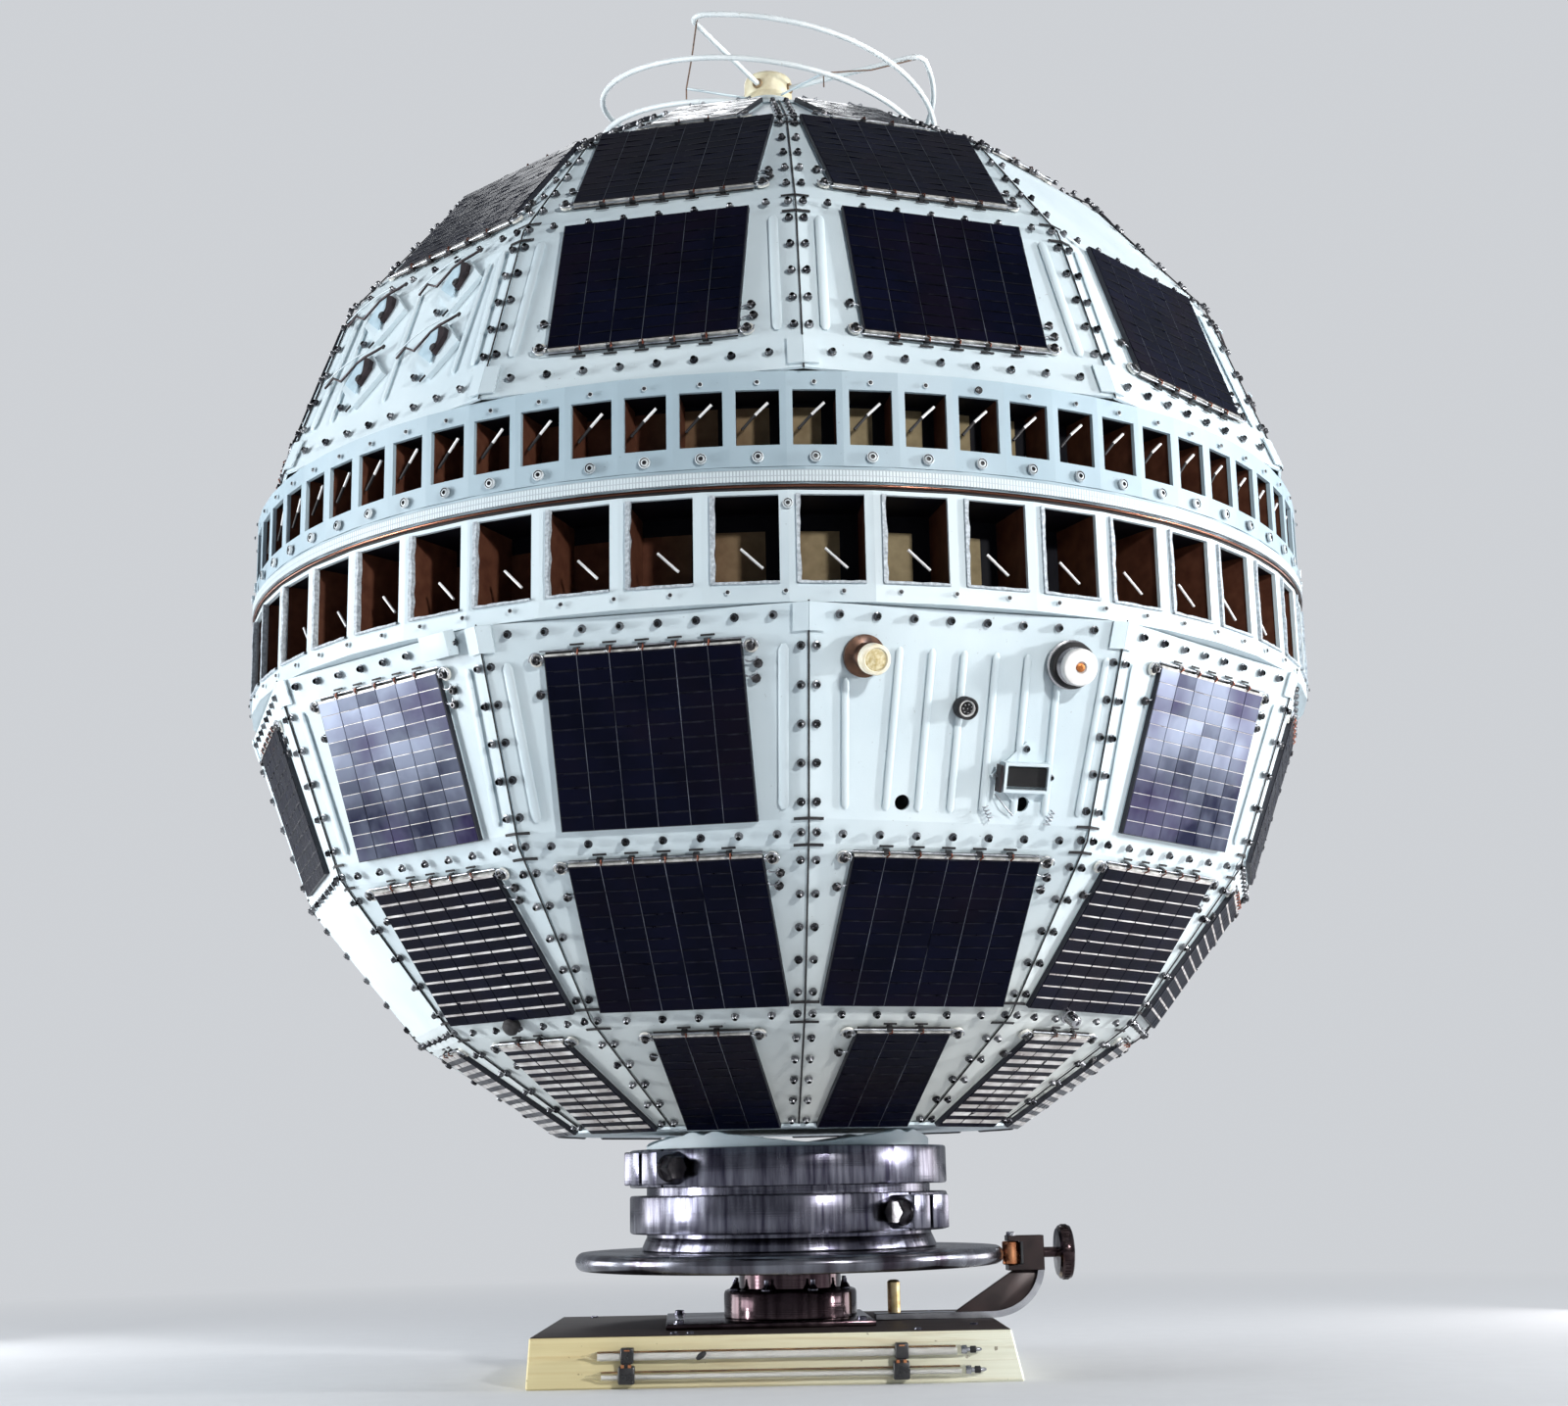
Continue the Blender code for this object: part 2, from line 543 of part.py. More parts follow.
def make_turntable():
    """The polished disc with a rounded rim, and the hollow adapter ring bolted on it."""
    middle = (DISC_BOTTOM + DISC_TOP) / 2
    half = DISC_THICKNESS / 2
    profile = [(0, DISC_TOP), (DISC_RADIUS - 0.018, DISC_TOP)]
    for angle in (50, 0, -50):
        reach = math.radians(angle)
        profile.append((DISC_RADIUS - half + half * math.cos(reach), middle + half * math.sin(reach)))
    profile += [(DISC_RADIUS - 0.012, DISC_BOTTOM), (0, DISC_BOTTOM)]
    turned("turntable_disc", profile, bright_steel(), 48)
    outer, inner = ADAPTER_RADIUS, ADAPTER_RADIUS - ADAPTER_WALL
    foot_top = ADAPTER_BOTTOM + ADAPTER_FOOT
    profile = [(inner, UPPER_BAND_TOP), (outer, UPPER_BAND_TOP), (outer, foot_top),
               (outer + ADAPTER_FOOT * 0.3, ADAPTER_BOTTOM), (inner, ADAPTER_BOTTOM)]
    turned("adapter_ring", profile, bright_steel(), RING_SIDES, closed=True)


def make_clamp_band(name, bottom, azimuth, head_side):
    """A split band with two lugs drawn together by a hexagon-headed bolt."""
    inner = ADAPTER_RADIUS + FIT
    outer = inner + BAND_THICKNESS
    top = bottom + BAND_HEIGHT
    chamfer = BAND_THICKNESS * 0.15
    band = turned(name, ring_profile(inner, outer, bottom, top, chamfer), bright_steel(), RING_SIDES,
                  closed=True)
    lug_middle = outer + LUG_LENGTH / 2 - chamfer
    middle = (bottom + top) / 2
    bm = bmesh.new()
    for side in (-1, 1):
        place = Matrix.Translation((side * (LUG_SPLIT + LUG_THICKNESS) / 2, -lug_middle, middle))
        add_box(bm, (LUG_THICKNESS, LUG_LENGTH + 2 * chamfer, BAND_HEIGHT - 2 * chamfer), turn(azimuth) @ place)
    lugs = mesh_object(f"{name}_lugs", bm, None)
    bm = bmesh.new()
    place = Matrix.Translation((0, -(inner + outer) / 2, middle))
    add_box(bm, (LUG_SPLIT, 2 * BAND_THICKNESS, 2 * BAND_HEIGHT), turn(azimuth) @ place)
    split = mesh_object(f"{name}_split", bm, None)
    reach = LUG_SPLIT / 2 + LUG_THICKNESS
    ends = [turn(azimuth) @ Vector((head_side * x, -lug_middle, middle))
            for x in (-reach - BOLT_RADIUS, reach + 0.001, reach - 0.001, reach + BOLT_HEAD_LENGTH)]
    bm = bmesh.new()
    add_rod(bm, BOLT_RADIUS, ends[0], ends[1], 8)
    shank = mesh_object(f"{name}_shank", bm, None)
    bm = bmesh.new()
    add_rod(bm, BOLT_HEAD_RADIUS, ends[2], ends[3], 6)
    head = mesh_object(f"{name}_head", bm, None)
    boolean(band, "DIFFERENCE", split)
    for piece in (lugs, shank, head):
        boolean(band, "UNION", piece)


def make_separation_ring():
    """The ball's own ring above the upper band; its top edge rises in low humps to the cover."""
    outer = ADAPTER_RADIUS
    inner = outer - SEPARATION_RING_WALL
    bm = bmesh.new()
    sections = []
    for step in range(RING_SIDES):
        azimuth = RING_DIP_AZIMUTH + step * 360 / RING_SIDES
        wave = 0.5 + 0.5 * math.cos(math.radians(RING_HUMPS * (azimuth - RING_DIP_AZIMUTH)))
        top = RING_TOP - RING_DIP * wave
        section = ((inner, RING_BOTTOM), (outer, RING_BOTTOM), (outer, top), (inner, top))
        sections.append([bm.verts.new(polar(radius, azimuth, height)) for radius, height in section])
    for near, far in zip(sections, sections[1:] + sections[:1]):
        for side in range(4):
            after = (side + 1) % 4
            bm.faces.new((near[side], far[side], far[after], near[after]))
    mesh_object("separation_ring", bm, white_paint())


def extruded(name, outline, width, finish):
    """A flat outline in the XZ plane, made a plate of this width centred on y = 0."""
    bm = bmesh.new()
    face = bm.faces.new([bm.verts.new((x, -width / 2, z)) for x, z in outline])
    grown = bmesh.ops.extrude_face_region(bm, geom=[face])
    moved = [item for item in grown["geom"] if isinstance(item, bmesh.types.BMVert)]
    bmesh.ops.translate(bm, verts=moved, vec=(0, width, 0))
    return mesh_object(name, bm, finish)


def make_brake():
    """The bracket on the base, with a fork for the roller at the disc's rim, and the hand knob."""
    rim = (DISC_BOTTOM + DISC_TOP) / 2
    roller_x = DISC_RADIUS + BRAKE_CLEARANCE + ROLLER_RADIUS
    fork_x = DISC_RADIUS + RIM_CLEARANCE
    block_x = roller_x + ROLLER_RADIUS + 0.002
    end_x = block_x + BLOCK_LENGTH
    inside = ROLLER_LENGTH / 2 + FIT
    outside = inside + FORK_THICKNESS
    floor = WOOD_THICKNESS + FIT
    fork = [(fork_x, rim + inside), (block_x, rim + inside), (block_x, rim - inside), (fork_x, rim - inside),
            (fork_x, rim - outside), (end_x, rim - outside), (end_x, rim + outside), (fork_x, rim + outside)]
    arm = extruded("brake_arm", fork, BLOCK_WIDTH, bright_steel())
    start_x = end_x - ARM_SETBACK
    outer, inner = [], []
    drop = rim - inside - floor
    for step in range(7):
        angle = math.radians(90 * step / 6)
        outer.append((start_x + ARM_SETBACK * math.sin(angle), floor + drop * (1 - math.cos(angle))))
        inner.append((start_x + (ARM_SETBACK - ARM_THICKNESS) * math.sin(angle),
                      floor + ARM_THICKNESS + (drop - ARM_THICKNESS) * (1 - math.cos(angle))))
    foot_x = PLATE_SHIFT + PLATE_WIDTH / 2 + FOOT_CLEARANCE
    strip = [(foot_x, floor)] + outer + list(reversed(inner)) + [(foot_x, floor + ARM_THICKNESS)]
    boolean(arm, "UNION", extruded("brake_strip", strip, ARM_WIDTH, None))
    sunk = ARM_THICKNESS * 0.4
    web = [(start_x - WEB_FOOT, floor + sunk), (start_x, floor + sunk)]
    web += [(x - sunk, z + sunk) for x, z in outer[2:6]]
    web.append((end_x - ARM_THICKNESS, rim - outside + sunk))
    web.append((block_x - ARM_THICKNESS, rim - outside + sunk))
    boolean(arm, "UNION", extruded("brake_web", web, WEB_THICKNESS, None))
    turned_at("brake_roller", [(0, rim + ROLLER_LENGTH / 2), (ROLLER_RADIUS, rim + ROLLER_LENGTH / 2),
                               (ROLLER_RADIUS, rim - ROLLER_LENGTH / 2), (0, rim - ROLLER_LENGTH / 2)],
              material("copper", (0.72, 0.38, 0.22), 0.3, 1.0), Matrix.Translation((roller_x, 0, 0)), 20)
    pin_x = foot_x + PIN_INSET
    pin_bottom = floor + ARM_THICKNESS + FIT
    turned_at("stop_pin", [(0, pin_bottom + PIN_HEIGHT), (PIN_RADIUS, pin_bottom + PIN_HEIGHT),
                           (PIN_RADIUS, pin_bottom), (0, pin_bottom)],
              material("brass", (0.78, 0.60, 0.26), 0.3, 1.0), Matrix.Translation((pin_x, 0, 0)), 16)
    low, high = KNOB_STAND_OFF, KNOB_STAND_OFF + KNOB_THICKNESS
    knob = [(0, high - 0.002), (KNOB_RADIUS * 0.55, high - 0.002), (KNOB_RADIUS * 0.8, high),
            (KNOB_RADIUS, high - KNOB_THICKNESS * 0.35), (KNOB_RADIUS, low + KNOB_THICKNESS * 0.35),
            (KNOB_RADIUS * 0.8, low), (KNOB_SHAFT_RADIUS, low), (KNOB_SHAFT_RADIUS, FIT), (0, FIT)]
    turned_at("brake_knob", knob, bright_steel(),
              Matrix.Translation((end_x, 0, rim)) @ Matrix.Rotation(math.radians(90), 4, "Y"), 20)


def turned_at(name, profile, finish, place, segments):
    obj = turned(name, profile, finish, segments)
    obj.matrix_world = place
    return obj


def make_tubes():
    """Two sealed glass tubes held side by side in clips on the base's front."""
    face = turn(WOOD_TURN) @ Matrix.Translation((TUBE_SHIFT, -WOOD_DEPTH / 2 - FIT - CLIP_DEPTH / 2, TUBE_MIDDLE))
    black = material("black_plastic", (0.015, 0.015, 0.017), 0.45, 0.0)
    glass = material("tube_glass", (0.80, 0.72, 0.55), 0.15, 0.2)
    bm = bmesh.new()
    for side in (-1, 1):
        shift = LOWER_TUBE_SHIFT if side < 0 else 0.0
        height = side * TUBE_SPACING / 2
        ends = [face @ Vector((x * TUBE_LENGTH + shift, 0, height)) for x in (-0.5, 0.5)]
        tube = bmesh.new()
        add_rod(tube, TUBE_RADIUS, ends[0], ends[1], 16)
        mesh_object("tube_upper" if side > 0 else "tube_lower", tube, glass)
        add_rod(bm, TUBE_RADIUS + FIT, ends[0], ends[1], 16)
    bores = mesh_object("clip_bores", bm, None)
    for side, inset, label in ((-1, LEFT_CLIP_INSET, "left"), (1, RIGHT_CLIP_INSET, "right")):
        bm = bmesh.new()
        middle = Matrix.Translation((side * (TUBE_LENGTH / 2 - inset), 0, 0))
        add_box(bm, (CLIP_WIDTH, CLIP_DEPTH, CLIP_HEIGHT), face @ middle)
        boolean(mesh_object(f"tube_clip_{label}", bm, black), "DIFFERENCE", bores)


def connector_place(place):
    """Where a connector stands on the bare lower facet, its axis out of the sheet."""
    right, down = place
    azimuth = GORE_ANGLE * (CONNECTOR_GORE - 0.5)
    return turn(azimuth) @ facet_frame(0, False) @ Matrix.Translation((-right, down, FIT))


def connector_holes(name):
    """Two round holes through the sheet; one also bites the lower tip off the port's base plate."""
    bm = bmesh.new()
    for hole in HOLE_PLACES:
        place = connector_place(hole)
        add_rod(bm, HOLE_RADIUS, place @ Vector((0, 0, -3 * SKIN)), place @ Vector((0, 0, 3 * SKIN)), 16)
    return mesh_object(name, bm, None)


def coax_profile(radius, length):
    """A flanged barrel with an open mouth and a centre pin."""
    mouth = radius * 0.72
    depth = length * 0.45
    pin = radius * 0.22
    return [(0, length - 0.002), (pin, length - 0.002), (pin, length - depth), (mouth, length - depth),
            (mouth, length), (radius, length), (radius, COAX_FLANGE_THICKNESS),
            (COAX_FLANGE_RADIUS, COAX_FLANGE_THICKNESS), (COAX_FLANGE_RADIUS, 0), (0, 0)]


def make_connectors():
    turned_at("coax_left", coax_profile(LEFT_COAX_RADIUS, LEFT_COAX_LENGTH), ivory_plastic(),
              connector_place(LEFT_COAX_PLACE), 20)
    turned_at("coax_right", coax_profile(RIGHT_COAX_RADIUS, RIGHT_COAX_LENGTH), bright_steel(),
              connector_place(RIGHT_COAX_PLACE), 20)
    mouth, floor = ROUND_RADIUS * 0.8, ROUND_LENGTH * 0.6
    profile = [(0, floor), (mouth, floor), (mouth, ROUND_LENGTH), (ROUND_RADIUS, ROUND_LENGTH),
               (ROUND_RADIUS, 0), (0, 0)]
    turned_at("round_connector", profile, dark_steel(), connector_place(ROUND_PLACE), 20)
    make_port()


def make_port():
    """A rectangular shell connector on a base plate set cornerwise."""
    place = connector_place(PORT_PLACE)
    bm = bmesh.new()
    plate = place @ Matrix.Translation((0, 0, PORT_WALL / 2)) @ Matrix.Rotation(math.radians(45), 4, "Z")
    add_box(bm, (PORT_WIDTH, PORT_WIDTH, PORT_WALL), plate)
    port = mesh_object("port_bracket", bm, bright_steel())
    bm = bmesh.new()
    add_box(bm, (PORT_WIDTH, PORT_HEIGHT, PORT_DEPTH - PORT_WALL / 2),
            place @ Matrix.Translation((0, 0, (PORT_DEPTH + PORT_WALL / 2) / 2)))
    boolean(port, "UNION", mesh_object("port_shell", bm, None))
    bm = bmesh.new()
    add_box(bm, (PORT_WIDTH - 2 * PORT_WALL, PORT_HEIGHT - 2 * PORT_WALL, PORT_DEPTH),
            place @ Matrix.Translation((0, 0, PORT_WALL + PORT_DEPTH / 2)))
    boolean(port, "DIFFERENCE", mesh_object("port_mouth", bm, None))
    boolean(port, "DIFFERENCE", connector_holes("port_holes"))


def main():
    clear_scene()
    make_wood_base()
    make_base_plate()
    make_pedestal()
    make_turntable()
    make_clamp_band("clamp_band_lower", LOWER_BAND_BOTTOM, LOWER_BAND_AZIMUTH, -1)
    make_clamp_band("clamp_band_upper", UPPER_BAND_BOTTOM, UPPER_BAND_AZIMUTH, 1)
    make_separation_ring()
    make_gores()
    make_covers()
    make_belt()
    make_waist()
    make_horns()
    make_canister()
    make_antenna()
    make_connectors()
    make_brake()
    make_tubes()


main()
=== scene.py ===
"""Finishes for a faceted ball-shaped satellite held on a display turntable.

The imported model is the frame. Each section below dresses one piece or one group of like pieces,
in the order in which the real thing is put together, from the sheet gores outwards and then
down through the stand. Metres, +Z up; azimuths are in degrees from -Y towards +X.
"""
import math
import random

import bmesh
import bpy
import numpy as np
from mathutils import Matrix, Vector


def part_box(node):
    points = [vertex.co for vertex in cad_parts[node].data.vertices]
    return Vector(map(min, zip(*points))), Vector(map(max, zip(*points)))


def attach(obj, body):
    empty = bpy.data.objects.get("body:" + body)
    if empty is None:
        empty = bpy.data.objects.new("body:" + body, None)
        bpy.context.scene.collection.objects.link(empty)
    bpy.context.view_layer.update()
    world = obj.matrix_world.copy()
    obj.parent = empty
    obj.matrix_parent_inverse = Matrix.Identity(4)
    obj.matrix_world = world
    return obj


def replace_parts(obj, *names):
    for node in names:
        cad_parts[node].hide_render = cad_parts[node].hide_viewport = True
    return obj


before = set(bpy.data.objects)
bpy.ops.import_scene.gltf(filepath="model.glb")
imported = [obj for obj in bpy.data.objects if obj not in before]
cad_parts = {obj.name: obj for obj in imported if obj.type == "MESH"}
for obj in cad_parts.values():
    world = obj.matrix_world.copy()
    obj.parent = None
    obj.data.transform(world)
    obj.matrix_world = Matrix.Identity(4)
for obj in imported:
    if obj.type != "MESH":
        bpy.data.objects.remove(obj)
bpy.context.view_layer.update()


# The studio
# A camera below the belt looks up at the ball. Three hard lamps light it, one near the camera and
# one far round on each side, with wide lamps at the sides and the rear and two small low ones for
# the stand. The floor is a plain pale sheet.

def polar(radius, azimuth, height=0.0):
    """The point at this radius and azimuth."""
    angle = math.radians(azimuth)
    return Vector((radius * math.sin(angle), -radius * math.cos(angle), height))


def turn(azimuth):
    """Turns what faces -Y to face this azimuth."""
    return Matrix.Rotation(math.radians(azimuth), 4, "Z")


def mm(*points):
    """Points that are given in millimetres, in metres."""
    return [tuple(number / 1000 for number in point) for point in points]


def moved(x, y, z):
    return Matrix.Translation((x, y, z))


def tipped(axis, degrees=90):
    """Turns about the X or the Y axis."""
    return Matrix.Rotation(math.radians(degrees), 4, axis)


def linked(name, data):
    """A new object with this data, in the scene."""
    obj = bpy.data.objects.new(name, data)
    bpy.context.scene.collection.objects.link(obj)
    return obj


def mesh_from(name, bm):
    """A mesh made from a bmesh, which is used up."""
    mesh = bpy.data.meshes.new(name)
    bm.to_mesh(mesh)
    bm.free()
    return mesh


EQUATOR = (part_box("gore_upper_01")[1].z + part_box("gore_lower_01")[0].z) / 2
CAMERA_AZIMUTH, CAMERA_DISTANCE, CAMERA_BELOW_EQUATOR = -2.65, 1.7694, 0.4393
CAMERA_PITCH, CAMERA_YAW, CAMERA_ROLL = 12.386, 0.126, -1.083
CAMERA_LENS, CAMERA_SENSOR = 50.0, 36.0


def make_camera():
    pitch, yaw, roll = (math.radians(angle) for angle in (CAMERA_PITCH, CAMERA_YAW, CAMERA_ROLL))
    ahead = Vector((math.sin(yaw) * math.cos(pitch), math.cos(yaw) * math.cos(pitch), math.sin(pitch)))
    level = Vector((math.cos(yaw), -math.sin(yaw), 0))
    upward = level.cross(ahead)
    across = math.cos(roll) * level + math.sin(roll) * upward
    upright = math.cos(roll) * upward - math.sin(roll) * level
    place = Matrix((across, upright, -ahead)).transposed().to_4x4()
    place.translation = Vector((0, -CAMERA_DISTANCE, EQUATOR - CAMERA_BELOW_EQUATOR))
    data = bpy.data.cameras.new("camera")
    data.lens, data.sensor_width, data.sensor_fit = CAMERA_LENS, CAMERA_SENSOR, "HORIZONTAL"
    camera = linked("camera", data)
    camera.matrix_world = turn(CAMERA_AZIMUTH) @ place
    bpy.context.scene.camera = camera


# Lamps: name, azimuth, elevation, distance from the ball's middle, side, power, colour
LAMPS = (
    ("hard_lamp", 23, 12, 3.6, 0.20, 74, (1.0, 0.99, 0.97)),
    ("left_hard_lamp", -82, -9, 3.4, 0.20, 56, (0.97, 0.99, 1.0)),
    ("right_hard_lamp", 76, 2, 3.4, 0.20, 76, (1.0, 0.99, 0.98)),
    ("left_lamp", -84, 6, 2.7, 1.25, 58, (0.94, 0.98, 1.0)),
    ("right_lamp", 85, 8, 2.8, 1.2, 46, (0.96, 0.99, 1.0)),
    ("rear_lamp", -172, 40, 3.2, 1.4, 34, (0.96, 0.98, 1.0)),
    ("low_left_lamp", -112, -21, 1.12, 0.36, 3.0, (0.98, 0.99, 1.0)),
    ("low_right_lamp", 112, -21, 1.12, 0.36, 2.2, (1.0, 0.96, 0.95)),
)


def make_lamps():
    middle = Vector((0, 0, EQUATOR))
    for name, azimuth, elevation, distance, side, power, colour in LAMPS:
        data = bpy.data.lights.new(name, "AREA")
        data.shape, data.size, data.energy, data.color = "SQUARE", side, power, colour
        lamp = linked(name, data)
        rise = math.radians(elevation)
        lamp.location = middle + polar(distance * math.cos(rise), azimuth, distance * math.sin(rise))
        lamp.rotation_euler = (lamp.location - middle).to_track_quat("Z", "Y").to_euler()
        lamp.visible_camera = False


class Tap:
    """A node's output that takes part in arithmetic; each operator adds a Math node."""

    def __init__(self, board, node, socket):
        self.board, self.node, self.socket = board, node, socket

    def out(self, name):
        return Tap(self.board, self.node, self.node.outputs[name])

    def math(self, operation, *others):
        return self.board.add("ShaderNodeMath", [self, *others], operation=operation)

    def __add__(self, other):
        return self.math("ADD", other)

    def __sub__(self, other):
        return self.math("SUBTRACT", other)

    def __mul__(self, other):
        return self.math("MULTIPLY", other)

    def __rsub__(self, other):
        return self.board.add("ShaderNodeMath", [other, self], operation="SUBTRACT")

    __radd__, __rmul__ = __add__, __mul__

    def above(self, edge, width):
        """0 below the edge, 1 above it, with a soft step of this width."""
        ends = {"From Min": edge - width / 2, "From Max": edge + width / 2}
        return self.board.add("ShaderNodeMapRange", {"Value": self, **ends})


class Board:
    """A node tree under construction."""

    def __init__(self, tree):
        self.tree = tree

    def feed(self, socket, value):
        """Links a Tap to a socket, or sets its value; a plain colour is a triple."""
        if isinstance(value, Tap):
            self.tree.links.new(value.socket, socket)
        else:
            socket.default_value = (*value, 1) if socket.type == "RGBA" else value

    def add(self, kind, values=(), **settings):
        """Adds a node: its settings first, then a value or a Tap for each socket. Returns its output."""
        node = self.tree.nodes.new(kind)
        for name, value in settings.items():
            setattr(node, name, value)
        for key, value in values.items() if isinstance(values, dict) else enumerate(values):
            self.feed(node.inputs[key], value)
        outputs = [socket for socket in node.outputs if socket.enabled]
        return Tap(self, node, outputs[0]) if outputs else None

    def mix(self, share, first, second):
        """Mixes two colours."""
        made = self.add("ShaderNodeMix", data_type="RGBA")
        named = {"Factor_Float": share, "A_Color": first, "B_Color": second}
        for socket in made.node.inputs:
            if socket.identifier in named:
                self.feed(socket, named[socket.identifier])
        result = next(socket for socket in made.node.outputs if socket.identifier == "Result_Color")
        return Tap(self, made.node, result)


class Finish(Board):
    """A material around one Principled shader, painted in object coordinates."""

    def __init__(self, name):
        self.material = bpy.data.materials.new(name)
        self.material.use_nodes = True
        super().__init__(self.material.node_tree)
        self.shader = self.tree.nodes["Principled BSDF"]
        self.place = self.add("ShaderNodeTexCoord").out("Object")

    def noise(self, scale, detail=3.0, place=None, **values):
        named = {"Vector": place or self.place, "Scale": scale, "Detail": detail, **values}
        return self.add("ShaderNodeTexNoise", named).out("Fac")

    def marked(self, name):
        """A value that is stored with the mesh under this name."""
        return self.add("ShaderNodeAttribute", attribute_name=name).out("Fac")

    def stretched(self, x, y, z):
        """Object coordinates scaled by axis, for grain and brushing."""
        return self.add("ShaderNodeVectorMath", [self.place, (x, y, z)], operation="MULTIPLY")

    def apart(self):
        parts = self.add("ShaderNodeSeparateXYZ", [self.place])
        return parts.out("X"), parts.out("Y"), parts.out("Z")

    def bump(self, height, distance, strength=1.0):
        return self.add("ShaderNodeBump", {"Height": height, "Distance": distance, "Strength": strength})

    def set(self, **values):
        """Sets or links the shader's sockets; underscores stand for spaces."""
        for name, value in values.items():
            self.feed(self.shader.inputs[name.replace("_", " ")], value)
        return self.material


def make_floor():
    """The floor and the surroundings, pale to the camera and in reflections, and dimmer as light."""
    bm = bmesh.new()
    bmesh.ops.create_grid(bm, x_segments=1, y_segments=1, size=FLOOR_REACH)
    floor = linked("floor", mesh_from("floor", bm))
    finish = Finish("pale_floor")
    colour = finish.mix(finish.noise(40, 2), (0.60, 0.61, 0.63), (0.64, 0.65, 0.67))
    finish.set(Base_Color=colour, Roughness=0.85, Specular_IOR_Level=0.2)
    path = finish.add("ShaderNodeLightPath")
    seen = path.out("Is Camera Ray").math("MAXIMUM", path.out("Is Transmission Ray"))
    x, y, z = finish.apart()
    away = (x * x + y * y).math("POWER", 0.5).above(FLOOR_FADE, FLOOR_FADE_WIDTH)
    glow = finish.add("ShaderNodeEmission", {"Color": BACKDROP_COLOUR, "Strength": 1.0})
    surface = Tap(finish, finish.shader, finish.shader.outputs["BSDF"])
    mixed = finish.add("ShaderNodeMixShader", [away * seen, surface, glow])
    finish.feed(finish.tree.nodes["Material Output"].inputs["Surface"], mixed)
    floor.data.materials.append(finish.material)
    world = bpy.data.worlds.new("surroundings")
    bpy.context.scene.world = world
    world.use_nodes = True
    board = Board(world.node_tree)
    path = board.add("ShaderNodeLightPath")
    seen = path.out("Is Camera Ray").math("MAXIMUM", path.out("Is Transmission Ray"))
    seen = seen.math("MAXIMUM", path.out("Is Glossy Ray") * GLOSSY_SHARE)
    colour = board.mix(seen, AMBIENT_COLOUR, BACKDROP_COLOUR)
    board.feed(world.node_tree.nodes["Background"].inputs["Color"], colour)


AMBIENT_COLOUR = (0.085, 0.100, 0.125)
BACKDROP_COLOUR = (0.62, 0.64, 0.67)
GLOSSY_SHARE = 0.3
FLOOR_REACH, FLOOR_FADE, FLOOR_FADE_WIDTH = 30, 1.15, 1.3

make_camera()
make_lamps()
make_floor()
bpy.context.scene.view_settings.view_transform = "Standard"


# The twelve upper and twelve lower gores
# Each is a sheet of light alloy bent at two folds, with white thermal paint that has gone a
# little blue-grey and blotchy with handling. They are screwed to a frame along seams and folds.

GORES = 12
GORE_ANGLE = 360 / GORES
TIER_LATITUDES = (10.27, 29.99, 48.45, 65.5)
GORE_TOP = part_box("gore_upper_01")[1].z - EQUATOR
BODY_RADIUS = GORE_TOP / math.sin(math.radians(TIER_LATITUDES[-1]))
PAINT_DARK, PAINT_PALE = (0.50, 0.60, 0.655), (0.70, 0.785, 0.815)
# The third colour is a painted brownish shade, warmed by bounced light, that is mixed into the sheet paint
# towards the bottom of the ball
PAINT_LOW_SHADE, PAINT_GRIME, LOW_SHADE_DROP = (0.60, 0.55, 0.47), (0.16, 0.15, 0.14), 0.30


def white_paint(name, low_shade_level=None, dark=PAINT_DARK, pale=PAINT_PALE):
    """Matt thermal paint: blotches, faint brush marks, grime specks and small dents in the sheet, and below a
    given level a painted brownish shade.
    """
    finish = Finish(name)
    blotch = finish.noise(9, 4, Roughness=0.55).above(0.5, 0.5)
    cloud = finish.noise(2.2, 2).above(0.52, 0.45)
    strokes = finish.noise(30, 3, place=finish.stretched(1, 1, 0.16)).above(0.5, 0.6)
    tone = blotch * 0.5 + cloud * 0.3 + strokes * 0.2
    colour = finish.mix(tone, dark, pale)
    if low_shade_level is not None:
        # Below the level the paint is mixed towards the painted brownish shade
        low = 1 - finish.apart()[2].above(low_shade_level, 0.16)
        colour = finish.mix(low * (0.25 + 0.5 * cloud), colour, PAINT_LOW_SHADE)
    speck = finish.noise(420, 2).above(0.735, 0.05) * finish.noise(24, 2).above(0.55, 0.2)
    colour = finish.mix(speck * 0.55, colour, PAINT_GRIME)
    grain = finish.noise(900, 2)
    dents = finish.noise(14, 2)
    normal = finish.bump(dents * 1.0 + grain * 0.035, 0.0016, 0.55)
    return finish.set(Base_Color=colour, Roughness=0.36 + 0.2 * blotch, Normal=normal,
                      Specular_IOR_Level=0.42)


def dress(finish, *names):
    """Gives nodes of the frame a finish."""
    for name in names:
        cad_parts[name].material_slots[0].material = finish


sheet_paint = white_paint("sheet_paint", low_shade_level=EQUATOR - LOW_SHADE_DROP)
trim_paint = white_paint("trim_paint")
for number in range(1, GORES + 1):
    dress(sheet_paint, f"gore_upper_{number:02d}", f"gore_lower_{number:02d}")
dress(trim_paint, "top_cover", "bottom_cover")


# The solar cells
# Sixty-two trays carry rows of thin dark silicon cells under glass. Each cell is a tile of its
# own, a little out of true, with a contact strip along its waist side: near black, a painted dark
# reflection, on most trays, and bright and wide, a painted glint, on the lower second and third
# tiers away from the front and on the two pale trays. The cells of two lower gores are painted
# pale, a painted sheen.

